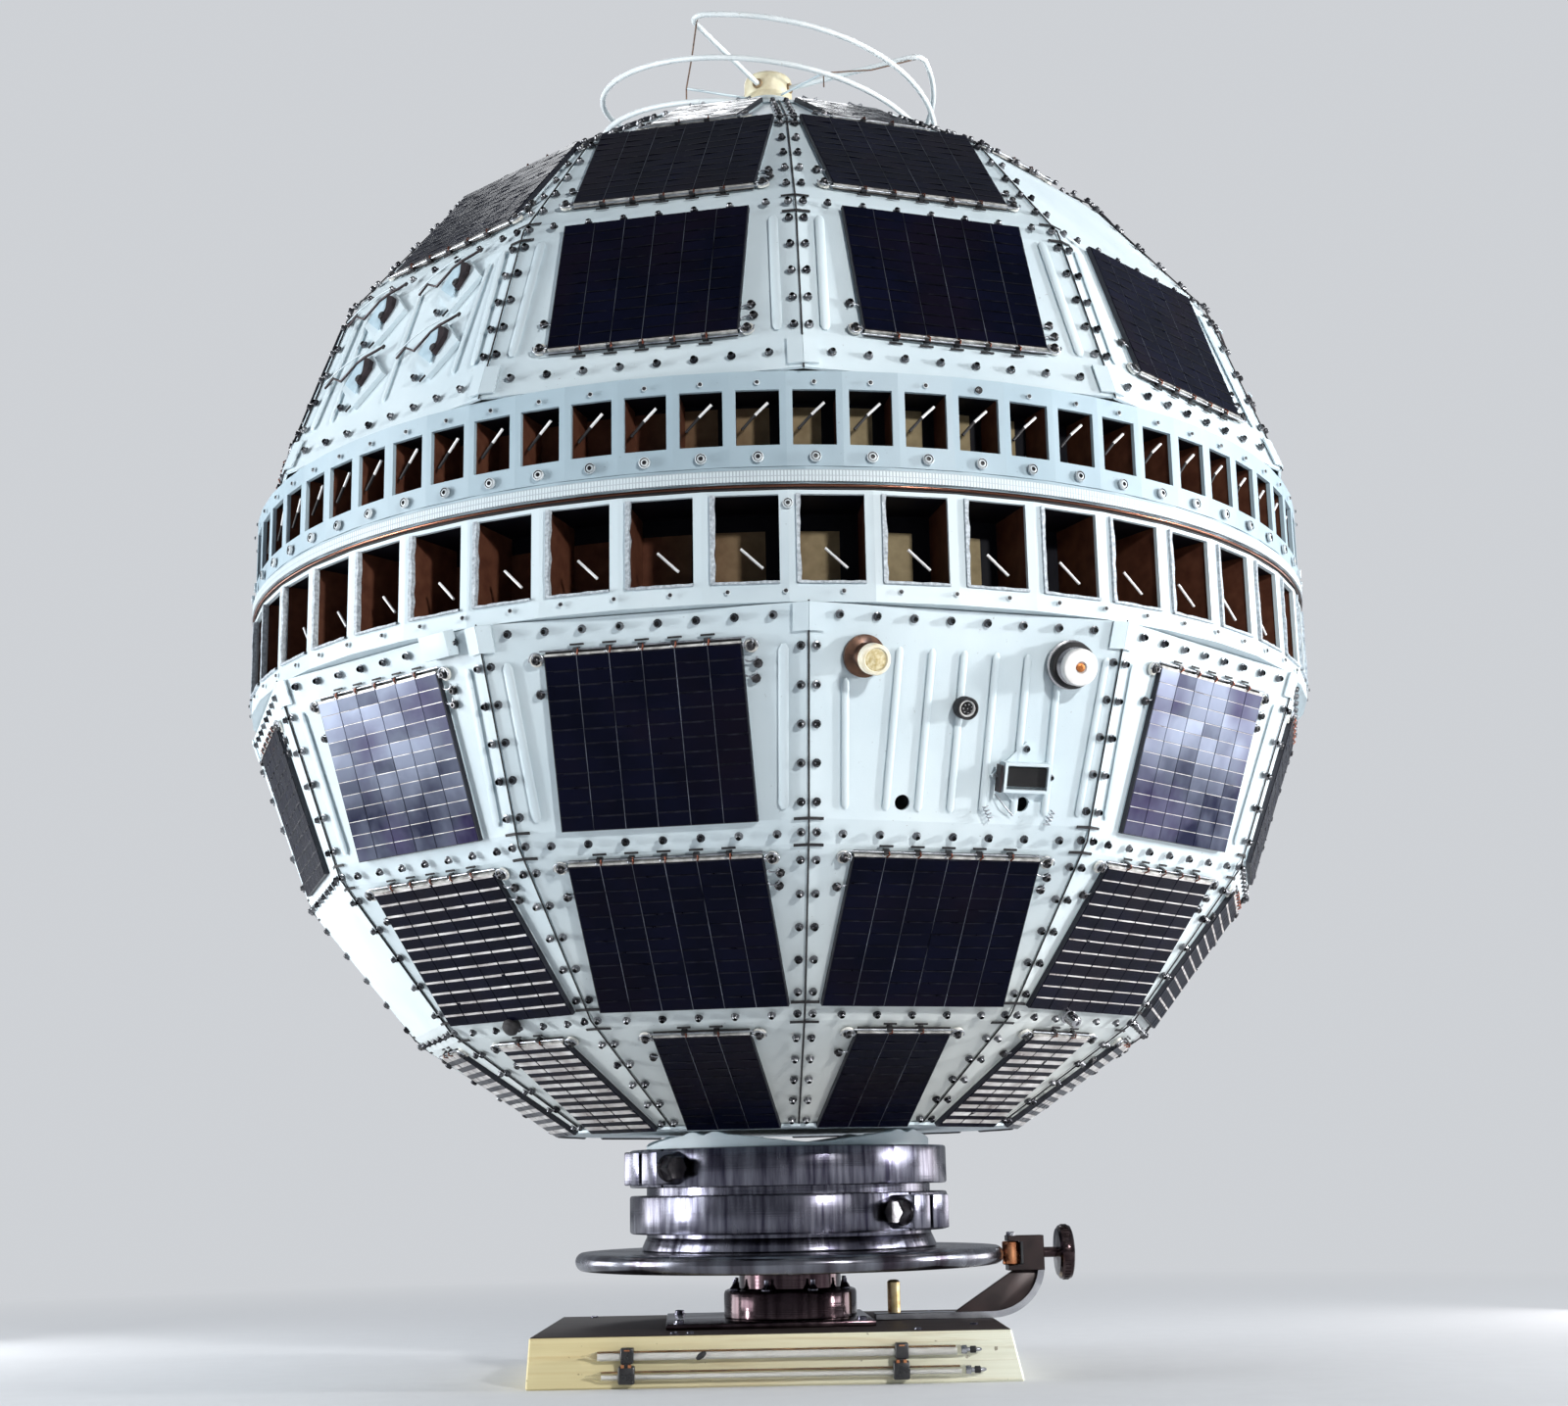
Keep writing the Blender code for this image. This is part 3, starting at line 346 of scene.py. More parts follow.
BARE_GORES = {True: ((3, 7, 11), (2, 6, 10), ()), False: ((1, 5, 9), (10,), ())}
TRAY_MARGINS = {
    True: ((0.0327, 0.0345, 0.0035), (0.0097, 0.0270, 0.0012), (0.0130, 0.0200, 0.0018)),
    False: ((0.0327, 0.0245, 0.0095), (0.0097, 0.0150, 0.0087), (0.0130, 0.0170, 0.0018)),
}
TRAY_THICKNESS = 0.003
CELL_COLUMNS, CELL_ROWS = (6, 6, 3), 12
COLUMN_GAP, ROW_GAP, CELL_THICKNESS, CELL_WOBBLE = 0.0008, 0.0004, 0.0005, 0.6
CONTACT_WIDTH, CARRIER_MARGIN, COLUMN_WIRE = 0.0010, 0.0004, 0.0004
# The contacts of the lower tiers are bright and wide, a painted glint, but for the two gores in front
GLINT_CONTACT_WIDTHS, UNGLINTED_GORES, THIN_CONTACTS = (0.0004, 0.0017, 0.0040), (12, 1), (2, 1, 0.0010)
# Two lower gores of the first tier have pale blue cells, a painted sheen, paler towards the belt
SHEEN_GORES, SHEEN_DROP, SHEEN_REACH = (2, 11), 0.142, 0.085


def corner(level, upper):
    """The radius and height of a facet corner."""
    latitude = math.radians(TIER_LATITUDES[level])
    height = BODY_RADIUS * math.sin(latitude)
    return BODY_RADIUS * math.cos(latitude), EQUATOR + (height if upper else -height)


def half_width(level, upper, slope):
    """Half the width of a facet at this distance up its slope from the waist edge."""
    near, far = corner(level, upper)[0], corner(level + 1, upper)[0]
    part = slope / facet_length(level, upper)
    return (near + (far - near) * part) * math.sin(math.radians(GORE_ANGLE / 2))


def facet_edges(level, upper):
    flat = math.cos(math.radians(GORE_ANGLE / 2))
    return [Vector((0, -radius * flat, height)) for radius, height in
            (corner(level, upper), corner(level + 1, upper))]


def facet_length(level, upper):
    near, far = facet_edges(level, upper)
    return (far - near).length


def on_facet(number, upper, level, right, slope, height=0.0):
    """The place on a facet, right of its middle and up its slope, with Z out and Y up the slope."""
    near, far = facet_edges(level, upper)
    along = (far - near).normalized()
    across = Vector((1, 0, 0)) if upper else Vector((-1, 0, 0))
    place = Matrix((across, along, across.cross(along))).transposed().to_4x4()
    place.translation = near
    shift = moved(right if upper else -right, slope, height)
    return turn(GORE_ANGLE * (number - 0.5)) @ place @ shift


def all_facets():
    for upper in (True, False):
        for number in range(1, GORES + 1):
            for level in range(3):
                yield number, upper, level


def trays():
    """Each tray: gore, half, tier, width, length, and where its waist side is up the slope."""
    for number, upper, level in all_facets():
        if number not in BARE_GORES[upper][level]:
            beside, near, far = TRAY_MARGINS[upper][level]
            length = facet_length(level, upper) - near - far
            narrow = half_width(level, upper, facet_length(level, upper))
            yield number, upper, level, 2 * (narrow - beside), length, near


def sized(place, *size):
    """A place stretched along its axes; one number stretches all three."""
    return place @ Matrix.Diagonal((*(size * 3 if len(size) == 1 else size), 1))


def spot_mesh(name, spots):
    """A mesh of loose points, each with its axes and its size taken from a matrix."""
    mesh = bpy.data.meshes.new(name)
    mesh.from_pydata([spot.translation for spot in spots], [], [])
    columns = [[Vector(spot.col[axis][:3]) for axis in range(3)] for spot in spots]
    vectors = {"along": [axes[0].normalized() for axes in columns],
               "out": [axes[2].normalized() for axes in columns],
               "size": [[axis.length for axis in axes] for axes in columns]}
    for label, values in vectors.items():
        attribute = mesh.attributes.new(label, "FLOAT_VECTOR", "POINT")
        attribute.data.foreach_set("vector", [number for value in values for number in value])
    return mesh


def path_mesh(name, paths):
    """A mesh of chains of edges, one for each path; a path whose ends meet is closed."""
    verts, edges = [], []
    for path in paths:
        closed = (Vector(path[0]) - Vector(path[-1])).length < 1e-6
        points = path[:-1] if closed else path
        first = len(verts)
        verts += [tuple(point) for point in points]
        edges += [(first + step, first + step + 1) for step in range(len(points) - 1)]
        if closed:
            edges.append((len(verts) - 1, first))
    mesh = bpy.data.meshes.new(name)
    mesh.from_pydata(verts, edges, [])
    return mesh


def grown(name, mesh, plan, finish, sizes):
    """Runs a Geometry Nodes plan on a mesh, keeps the result as a plain mesh and gives its object."""
    obj = linked(name, mesh)
    tree = bpy.data.node_groups.new(name, "GeometryNodeTree")
    board = Board(tree)
    tree.interface.new_socket("Geometry", in_out="INPUT", socket_type="NodeSocketGeometry")
    tree.interface.new_socket("Geometry", in_out="OUTPUT", socket_type="NodeSocketGeometry")
    kinds = {float: "NodeSocketFloat", int: "NodeSocketInt", bpy.types.Object: "NodeSocketObject"}
    sockets = {label: tree.interface.new_socket(label, in_out="INPUT", socket_type=kinds[type(value)])
               for label, value in sizes.items()}
    start = board.add("NodeGroupInput")
    inputs = {label: start.out(label) for label in sizes}
    shape = plan(board, start.out("Geometry"), inputs)
    shape = board.add("GeometryNodeRealizeInstances", {"Geometry": shape})
    shape = board.add("GeometryNodeSetMaterial", {"Geometry": shape, "Material": finish})
    board.add("NodeGroupOutput", {"Geometry": shape})
    modifier = obj.modifiers.new("plan", "NODES")
    modifier.node_group = tree
    for label, value in sizes.items():
        modifier[sockets[label].identifier] = value
    bpy.context.view_layer.update()
    made = bpy.data.meshes.new_from_object(obj.evaluated_get(bpy.context.evaluated_depsgraph_get()))
    obj.modifiers.remove(modifier)
    obj.data = made
    made.name = name
    return obj


def copies(board, points, shape, inputs):
    """Copies of a shape on the points, turned by their axes, scaled, and tilted at random."""
    axes = [board.add("GeometryNodeInputNamedAttribute", {"Name": label}, data_type="FLOAT_VECTOR")
            for label in ("out", "along", "size")]
    facing = board.add("FunctionNodeAxesToRotation", {"Primary Axis": axes[0], "Secondary Axis": axes[1]},
                       primary_axis="Z", secondary_axis="X")
    placed = board.add("GeometryNodeInstanceOnPoints",
                       {"Points": points, "Instance": shape, "Rotation": facing, "Scale": axes[2]})
    reach = board.add("ShaderNodeCombineXYZ", [inputs["Wobble"], inputs["Wobble"], 0.0])
    back = board.add("ShaderNodeVectorMath", [reach, (-1, -1, -1)], operation="MULTIPLY")
    lean = board.add("FunctionNodeRandomValue", {"Min": back, "Max": reach, "Seed": inputs["Seed"]},
                     data_type="FLOAT_VECTOR")
    leaning = board.add("FunctionNodeEulerToRotation", {"Euler": lean})
    placed = board.add("GeometryNodeRotateInstances", {"Instances": placed, "Rotation": leaning})
    tone = board.add("FunctionNodeRandomValue", {"Seed": inputs["Seed"]}, data_type="FLOAT")
    return board.add("GeometryNodeStoreNamedAttribute", {"Geometry": placed, "Name": "tone", "Value": tone},
                     data_type="FLOAT", domain="INSTANCE")


def tiles(board, points, inputs):
    """Flat boxes that stand on the points, as wide, long and thick as each point says."""
    box = board.add("GeometryNodeMeshCube", {"Size": (1, 1, 1)})
    box = board.add("GeometryNodeTransform", {"Geometry": box, "Translation": (0, 0, 0.5)})
    return copies(board, points, box, inputs)


def shapes(board, points, inputs):
    """Copies of a given object on the points."""
    shape = board.add("GeometryNodeObjectInfo", {"Object": inputs["Shape"]}).out("Geometry")
    return copies(board, points, shape, inputs)


def wires(board, paths, inputs):
    """Round wires along the paths."""
    line = board.add("GeometryNodeMeshToCurve", {"Mesh": paths})
    section = {"Resolution": inputs["Sides"], "Radius": inputs["Radius"]}
    section = board.add("GeometryNodeCurvePrimitiveCircle", section)
    values = {"Curve": line, "Profile Curve": section, "Fill Caps": True}
    return board.add("GeometryNodeCurveToMesh", values)


def add_piece(obj, body):
    """Makes an object a piece that rides on a body."""
    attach(obj, body)
    return obj


def add_tiles(name, spots, finish, wobble=0.0, seed=1, body="table"):
    sizes = {"Wobble": math.radians(wobble), "Seed": seed}
    return add_piece(grown(name, spot_mesh(name, spots), tiles, finish, sizes), body)


def add_wires(name, paths, radius, finish, sides=6, body="table"):
    obj = grown(name, path_mesh(name, paths), wires, finish, {"Radius": radius, "Sides": sides})
    obj.data.shade_smooth()
    return add_piece(obj, body)


def add_shapes(name, spots, shape, finish, wobble=0.0, seed=1, body="table"):
    """Copies of the shape in a bmesh, which is used up."""
    master = linked(name + "_shape", mesh_from(name + "_shape", shape))
    sizes = {"Shape": master, "Wobble": math.radians(wobble), "Seed": seed}
    obj = grown(name, spot_mesh(name, spots), shapes, finish, sizes)
    bpy.data.objects.remove(master)
    obj.data.shade_smooth()
    obj.data.set_sharp_from_angle(angle=math.radians(35))
    return add_piece(obj, body)


def cell_glass(name, dark, bright, violet, shine, fade=0.0):
    """Silicon under glass, each tile a shade of its own; a fade paints a pale sheen over it, paler towards
    the belt.
    """
    finish = Finish(name)
    tone = finish.marked("tone")
    cloud = finish.noise(26, 3).above(0.5, 0.2)
    # With a fade, the cells are mixed towards the bright shade as a painted sheen, more so near the belt
    pale = finish.apart()[2].above(EQUATOR - SHEEN_DROP, SHEEN_REACH)
    share = (tone * 0.4 + cloud * 0.6) * (1 - fade) + pale * (0.3 + 0.9 * tone) * fade
    shade = finish.mix(share, dark, bright)
    shade = finish.mix(finish.noise(16, 2).above(0.58, 0.2) * 0.6, shade, violet)
    return finish.set(Base_Color=shade, Roughness=0.17 + 0.10 * tone, Specular_IOR_Level=shine,
                      Specular_Tint=(0.85, 0.82, 1.0))


def tarnished(name, dark, bright, roughness, scale=70.0, metallic=1.0):
    """A metal whose colour wanders between two shades."""
    finish = Finish(name)
    wander = finish.noise(scale, 3).above(0.5, 0.5)
    colour = finish.mix(wander, dark, bright)
    return finish.set(Base_Color=colour, Metallic=metallic, Roughness=roughness + 0.15 * wander)


carrier_black = tarnished("carrier_black", (0.003, 0.004, 0.010), (0.012, 0.013, 0.022), 0.5, metallic=0.0)
# The near-black silver of the other contacts is a painted dark reflection
contact_silver = tarnished("contact_silver", (0.005, 0.005, 0.010), (0.034, 0.034, 0.048), 0.25, 150)
wire_silver = tarnished("wire_silver", (0.008, 0.009, 0.018), (0.30, 0.32, 0.38), 0.3, 40)
cell_spots, sheen_cell_spots, contact_spots, glint_contact_spots, carrier_spots, column_spots = [], [], [], [], [], []
for number, upper, level, width, length, near in trays():
    across, down = width / CELL_COLUMNS[level], length / CELL_ROWS
    carrier = on_facet(number, upper, level, 0, near + length / 2)
    carrier_spots.append(sized(carrier, width + 2 * CARRIER_MARGIN, length + 2 * CARRIER_MARGIN,
                               TRAY_THICKNESS + CARRIER_MARGIN))
    top = TRAY_THICKNESS + CARRIER_MARGIN
    for column in range(CELL_COLUMNS[level]):
        right = (column + 0.5) * across - width / 2
        for row in range(CELL_ROWS):
            slope = near + (row + 0.5) * down
            cell = on_facet(number, upper, level, right, slope, top)
            painted_sheen = level == 0 and not upper and number in SHEEN_GORES
            spots = sheen_cell_spots if painted_sheen else cell_spots
            spots.append(sized(cell, across - COLUMN_GAP, down - ROW_GAP, CELL_THICKNESS))
            glinting = painted_sheen or level > 0 and not upper and number not in UNGLINTED_GORES
            wide = GLINT_CONTACT_WIDTHS[level] if glinting else CONTACT_WIDTH
            if (number, level) == THIN_CONTACTS[:2]:
                wide = THIN_CONTACTS[2]
            strip = on_facet(number, upper, level, right, near + row * down + wide / 2,
                             top + CELL_THICKNESS * 0.7)
            spots = glint_contact_spots if glinting else contact_spots
            spots.append(sized(strip, across - 2 * COLUMN_GAP, wide, CELL_THICKNESS * 0.6))
        if column and not glinting:
            wire = on_facet(number, upper, level, right - across / 2, near + length / 2, top)
            column_spots.append(sized(wire, COLUMN_WIRE, length, CELL_THICKNESS * 1.1))
add_tiles("cell_carriers", carrier_spots, carrier_black)
dark_glass = cell_glass("cell_glass", (0.0008, 0.0014, 0.0056), (0.0022, 0.0028, 0.0110),
                        (0.005, 0.003, 0.007), 0.07)
# The pale blue and violet of these cells are a painted sheen
painted_sheen_glass = cell_glass("painted_sheen_glass", (0.002, 0.003, 0.022), (0.50, 0.56, 0.72), (0.040, 0.018, 0.085),
                         0.05, 0.8)
add_tiles("solar_cells", cell_spots, dark_glass, CELL_WOBBLE, 11)
add_tiles("hazed_solar_cells", sheen_cell_spots, painted_sheen_glass, CELL_WOBBLE, 14)
add_tiles("cell_contacts", contact_spots, contact_silver, 2.5, 12)
# The bright, wide contacts are a painted glint
glint_silver = tarnished("glint_silver", (0.26, 0.22, 0.21), (0.90, 0.88, 0.86), 0.25, 60, metallic=0.3)
add_tiles("clean_cell_contacts", glint_contact_spots, glint_silver, 0.5, 13)
add_tiles("cell_column_wires", column_spots, wire_silver)


# The screws of the gores
# Polished pan-head screws on thin washers hold the gores: pairs beside each seam, a row along
# each fold and a row of eight along the waist edge. Each socket is painted near black, a painted
# shade in its recess.

SCREW_HEAD, SCREW_WASHER, SCREW_SIDES = 0.0021, 0.0030, 10
SEAM_INSET = 0.0052
# For each tier, the first and the last of five pairs beside a seam, up the slope
SEAM_PAIRS = {True: ((0.037, 0.134), (0.027, 0.1275), (0.024, 0.1185)),
              False: ((0.029, 0.130), (0.0203, 0.1217), (0.0258, 0.1204))}
PAIRS_IN_TIER = 5
# The waist row's height up the slope, and the left and right ends of it
WAIST_ROW, WAIST_ROW_ENDS, WAIST_ROW_COUNT = {True: 0.0147, False: 0.0082}, (-0.0905, 0.088), 8
# Each fold: its row's count, left end and pitch
FOLD_ROWS = ((7, -0.0755, 0.0255), (5, -0.0495, 0.0255))


def loft(bm, rings, around=True, closed=False, ends=False):
    """Joins rings of points by faces, all the way round them and from the last to the first if asked."""
    rings = [[bm.verts.new(point) for point in ring] for ring in rings]
    for near, far in zip(rings, rings[1:] + rings[:1] if closed else rings[1:]):
        for side in range(len(near) - (not around)):
            after = (side + 1) % len(near)
            bm.faces.new((near[side], near[after], far[after], far[side]))
    return [bm.faces.new(rings[0][::-1]), bm.faces.new(rings[-1])] if ends else []


def lathe(profile, sides, offset=0.0):
    """A bmesh turned from (radius, height) points that run from the axis or rim over the outside."""
    bm = bmesh.new()
    rings = []
    for radius, height in profile:
        if radius < 1e-7:
            rings.append([bm.verts.new((0, 0, height))])
        else:
            angles = [math.tau * side / sides + offset for side in range(sides)]
            rings.append([bm.verts.new((radius * math.cos(angle), radius * math.sin(angle), height))
                          for angle in angles])
    for low, high in zip(rings, rings[1:]):
        for side in range(max(len(low), len(high))):
            after = (side + 1) % sides
            quad = [low[side % len(low)], low[after % len(low)], high[after % len(high)],
                    high[side % len(high)]]
            bm.faces.new(list(dict.fromkeys(quad)))
    return bm


def with_socket(bm, *bands):
    """Marks the faces of a screw whose distance from its axis lies in one of these bands."""
    mark = bm.faces.layers.float.new("socket")
    for face in bm.faces:
        distance = Vector(face.calc_center_median().xy).length
        face[mark] = float(any(low <= distance < high for low, high in bands))
    return bm


def screw_shape():
    """Washer, pan head and socket."""
    bm = lathe([(SCREW_WASHER, -0.0002), (SCREW_WASHER * 0.97, 0.0006), (SCREW_HEAD * 1.05, 0.0008),
                (SCREW_HEAD, 0.0024), (SCREW_HEAD * 0.76, 0.0031), (SCREW_HEAD * 0.66, 0.0018), (0, 0.0016)],
               SCREW_SIDES)
    return with_socket(bm, (0, SCREW_HEAD * 0.72))


def screw_finish(name, dark, bright, sunk, roughness, metallic):
    """Each screw is of a shade of its own, and the faces marked as its socket take the sunk colour, which in
    a recess is painted shade.
    """
    finish = Finish(name)
    socket, tone = finish.marked("socket"), finish.marked("tone")
    colour = finish.mix(socket, finish.mix(tone, dark, bright), sunk)
    return finish.set(Base_Color=colour, Metallic=metallic * (1.0 - 0.6 * socket),
                      Roughness=roughness + 0.2 * tone)


def seam_right(level, upper, slope, inset):
    """How far right of a facet's middle a point lies that is this far in from the seam."""
    lean = (half_width(level, upper, 0) - half_width(level, upper, 0.1)) / 0.1
    return half_width(level, upper, slope) - inset * math.hypot(1, lean)


# The fourth colour paints the sockets near black, a painted shade
screws = screw_finish("screw_steel", (0.035, 0.034, 0.040), (0.26, 0.265, 0.28), (0.003, 0.003, 0.004), 0.16,
                      1.0)
seam_spots, row_spots = [], []
for number, upper, level in all_facets():
    first, last = SEAM_PAIRS[upper][level]
    slopes = [first + (last - first) * pair / (PAIRS_IN_TIER - 1) for pair in range(PAIRS_IN_TIER)]
    if level < 2:
        slopes.append(facet_length(level, upper) - 0.0002)
    for side in (-1, 1):
        for slope in slopes:
            right = side * seam_right(level, upper, slope, SEAM_INSET)
            seam_spots.append(on_facet(number, upper, level, right, slope))
    if level == 0:
        left, far_right = WAIST_ROW_ENDS
        for step in range(WAIST_ROW_COUNT):
            right = left + (far_right - left) * step / (WAIST_ROW_COUNT - 1)
            row_spots.append(on_facet(number, upper, level, right, WAIST_ROW[upper]))
    else:
        count, left, pitch = FOLD_ROWS[level - 1]
        for step in range(count):
            row_spots.append(on_facet(number, upper, level, left + pitch * step, 0.0002))
add_shapes("seam_screws", seam_spots, screw_shape(), screws, 4, 21)
add_shapes("row_screws", row_spots, screw_shape(), screws, 4, 22)


# Seam slots and corner plates
# Short black slots cross each seam above and below the folds, where the gores are notched. A
# square plate is folded over each seam at the waist edge, and a fine dark line shows along it.

SLOT_REACH, SLOT_HEIGHT, SLOT_FROM_FOLD = 0.0100, 0.0019, 0.0092
SEAM_LINE, SEAM_SINK = 0.0006, 0.0008
PLATE_REACH, PLATE_THICKNESS = 0.0104, 0.0010
PLATE_SPAN = {True: (0.0035, 0.0265), False: (0.0012, 0.0195)}


def seam_patch(bm, number, upper, level, low, high, reach, lift):
    """A thin plate on both sides of the seam to the right of a gore, bent over it."""
    after = number % GORES + 1
    for gore, side in ((number, 1), (after, -1)):
        outline = [(side * seam_right(level, upper, slope, inset), slope) for slope, inset in
                   ((low, -0.1 * lift), (low, reach), (high, reach), (high, -0.1 * lift))]
        loft(bm, [[on_facet(gore, upper, level, right, slope, height).translation for right, slope in outline]
                  for height in (-0.0004, lift)], ends=True)


def add_mesh(name, bm, finish, body="table", sharp=35):
    """Closes off a bmesh as a piece that rides on a body."""
    bmesh.ops.recalc_face_normals(bm, faces=bm.faces)
    mesh = mesh_from(name, bm)
    mesh.materials.append(finish)
    mesh.shade_smooth()
    mesh.set_sharp_from_angle(angle=math.radians(sharp))
    return add_piece(linked(name, mesh), body)


slot_black = tarnished("slot_black", (0.006, 0.006, 0.008), (0.018, 0.016, 0.018), 0.6, metallic=0.0)
slots, plates = bmesh.new(), bmesh.new()
for number in range(1, GORES + 1):
    for upper in (True, False):
        low, high = PLATE_SPAN[upper]
        seam_patch(plates, number, upper, 0, low, high, PLATE_REACH, PLATE_THICKNESS)
        half = SLOT_HEIGHT / 2
        for level in range(2):
            below = facet_length(level, upper) - SLOT_FROM_FOLD
            for tier, middle in ((level, below), (level + 1, SLOT_FROM_FOLD)):
                seam_patch(slots, number, upper, tier, middle - half, middle + half, SLOT_REACH, 0.0003)
add_mesh("seam_slots", slots, slot_black)
add_mesh("corner_plates", plates, trim_paint)
seam_lines = []
for number in range(GORES):
    for upper in (True, False):
        corners = [corner(level, upper) for level in range(4)]
        seam_lines.append([polar(radius - SEAM_SINK, number * GORE_ANGLE, height) for radius,
                           height in corners])
add_wires("seam_lines", seam_lines, SEAM_LINE, slot_black, 6)


# The gore whose second tier is bare
# This lower gore is bent from the same sheet as the others, but has a tray on its first and third
# tiers alone.

SKIN, FOLD_BAND, SEAM_GAP, EDGE_GAP = 0.002, 0.0175, 0.0016, 0.0011
plain_gore = BARE_GORES[False][1][0]
steps = [(0, 1, EDGE_GAP)]
for level in (1, 2):
    steps += [(level, level - 1, FOLD_BAND / 2), (level, level + 1, FOLD_BAND / 2)]
bends = []
for level, towards, distance in steps:
    share = distance / facet_length(min(level, towards), False)
    here, there = corner(level, False), corner(towards, False)
    bends.append([near + share * (far - near) for near, far in zip(here, there)])
bends.append(corner(3, False))
sheet = bmesh.new()
sections = []
for radius, height in bends:
    half = radius * math.sin(math.radians(GORE_ANGLE / 2)) - SEAM_GAP / 2
    outside = Vector((0, -radius * math.cos(math.radians(GORE_ANGLE / 2)), height))
    lean = math.atan2(EQUATOR - height, -outside.y)
    inside = outside + SKIN * Vector((0, math.cos(lean), math.sin(lean)))
    across = Vector((half, 0, 0))
    sections.append([turn(GORE_ANGLE * (plain_gore - 0.5)) @ point for point in
                     (outside - across, outside + across, inside + across, inside - across)])
loft(sheet, sections, ends=True)
for number, upper, level, width, length, near in trays():
    if number == plain_gore and not upper:
        tray = on_facet(number, upper, level, 0, near + length / 2, (TRAY_THICKNESS - SKIN / 2) / 2)
        bmesh.ops.create_cube(sheet, size=1, matrix=sized(tray, width, length, TRAY_THICKNESS + SKIN / 2))
plain = add_mesh("plain_gore_sheet", sheet, sheet_paint, sharp=2)
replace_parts(plain, f"gore_lower_{plain_gore:02d}")


# The beads of the gores
# Shallow beads pressed in the sheet stiffen it on both sides of the first tray, and eight of
# them run up each bare lower facet.

BEAD_WIDTH, BEAD_RISE, SHEET_LIFT = 0.0068, 0.0011, 0.00005
BEAD_INSET, BEAD_SPAN = 0.0165, {True: (0.034, 0.138), False: (0.027, 0.134)}
BARE_BEADS, BARE_BEAD_LEFT, BARE_BEAD_PITCH, BARE_BEAD_WIDTH = 6, -0.0475, 0.0225, 0.0050
BARE_BEAD_START, BARE_BEAD_END = 0.027, 0.134
# The beads beside the seams of a bare facet: side, distance from the seam, where it starts
BARE_EDGE_BEADS = ((-1, 0.0245, 0.049), (1, 0.0105, 0.026))


def ridge(bm, places, width, rise):
    """A low rounded ridge along the places on a sheet, tapered to nothing at both ends."""
    arc = [(-0.5, 0.0), (-0.36, 0.72), (-0.12, 1.0), (0.12, 1.0), (0.36, 0.72), (0.5, 0.0)]
    rings = []
    for index, place in enumerate(places):
        spread, swell = (0.45, 0.0) if index in (0, len(places) - 1) else (1.0, 1.0)
        rings.append([place @ Vector((x * width * spread, 0, z * rise * swell)) for x, z in arc])
    loft(bm, rings, around=False)


beads = bmesh.new()
for number, upper, level in all_facets():
    if level == 0 and (upper or number not in BARE_GORES[False][0]):
        first, last = BEAD_SPAN[upper]
        taper = BEAD_WIDTH / 2
        for side in (-1, 1):
            places = []
            for slope in (first, first + taper, last - taper, last):
                right = side * seam_right(level, upper, slope, BEAD_INSET)
                places.append(on_facet(number, upper, level, right, slope, SHEET_LIFT))
            ridge(beads, places, BEAD_WIDTH, BEAD_RISE)
    elif level == 0:
        taper = BARE_BEAD_WIDTH / 2
        lines = [(0, BARE_BEAD_LEFT + BARE_BEAD_PITCH * bead, BARE_BEAD_START) for bead in range(BARE_BEADS)]
        for side, shift, first in lines + list(BARE_EDGE_BEADS):
            places = []
            for slope in (first, first + taper, BARE_BEAD_END - taper, BARE_BEAD_END):
                right = side * seam_right(level, upper, slope, shift) if side else shift
                places.append(on_facet(number, upper, level, right, slope, SHEET_LIFT))
            ridge(beads, places, BARE_BEAD_WIDTH, BEAD_RISE * 0.8)
add_mesh("gore_beads", beads, sheet_paint, sharp=60)


# The rails and terminals of the trays
# A wire rail and a flat bar run along the waist side of each tray, tied by clips at the column
# boundaries. The wires end at round white terminals with dark bolts beside the tray.

RAIL_OUT, RAIL_RADIUS, RAIL_LIFT, RAIL_OVERHANG = 0.0036, 0.0006, 0.0030, 0.0030
BAR_WIDTH, BAR_RISE = 0.0014, 0.0006
TERMINAL_RADIUS, TERMINAL_RISE, TERMINAL_OUT, TERMINAL_UP = 0.0046, 0.0020, 0.0062, 0.0022
BOLT_HEAD, BOLT_RISE, BOLT_SIDES = 0.0024, 0.0030, 8
# Bolts beside a tray: which side, out from its edge, up from its waist side
TRAY_BOLTS = ((1, 0.0072, 0.0236), (1, 0.0094, 0.0140), (-1, 0.0062, 0.0250))
CLIP_WIDTH, CLIP_DEPTH, CLIP_RISE = 0.0040, 0.0026, 0.0026
DASH_OUT, DASH_WIDTH, DASH_DEPTH, DASH_RISE = 0.0066, 0.0095, 0.0013, 0.0008
SHADOW_OUT, SHADOW_DEPTH, SHADOW_RISE = 0.0022, 0.0016, 0.0006
SOLDER_LEFT, SOLDER_OUT, SOLDER_SIZE = 0.0022, 0.0010, (0.0011, 0.0011, 0.0009)
# A tie goes over the rail: points right of the column, up from the waist side and over the sheet
TIE = mm((1.2, -4.6, 3.2), (1.6, -2.8, 5.2), (0.6, -0.2, 3.8))
LEAD_DOWN, LEAD_LIFT, LEAD_RADIUS = 0.004, 0.0016, 0.0042
LOOP_WIRE, TIE_WIRE, HOOK_OUT, HOOK_RADIUS = 0.00055, 0.0006, 0.0042, 0.0040


def bolt_shape(radius, rise, sides, washer=1.35):
    """A bolt: washer, head with a chamfer, and a sunk socket."""
    return lathe([(radius * washer, -0.0002), (radius * washer, 0.0005), (radius, 0.0006),
                  (radius, rise * 0.85), (radius * 0.82, rise), (radius * 0.5, rise),
                  (radius * 0.42, rise * 0.6), (0, rise * 0.55)], sides)


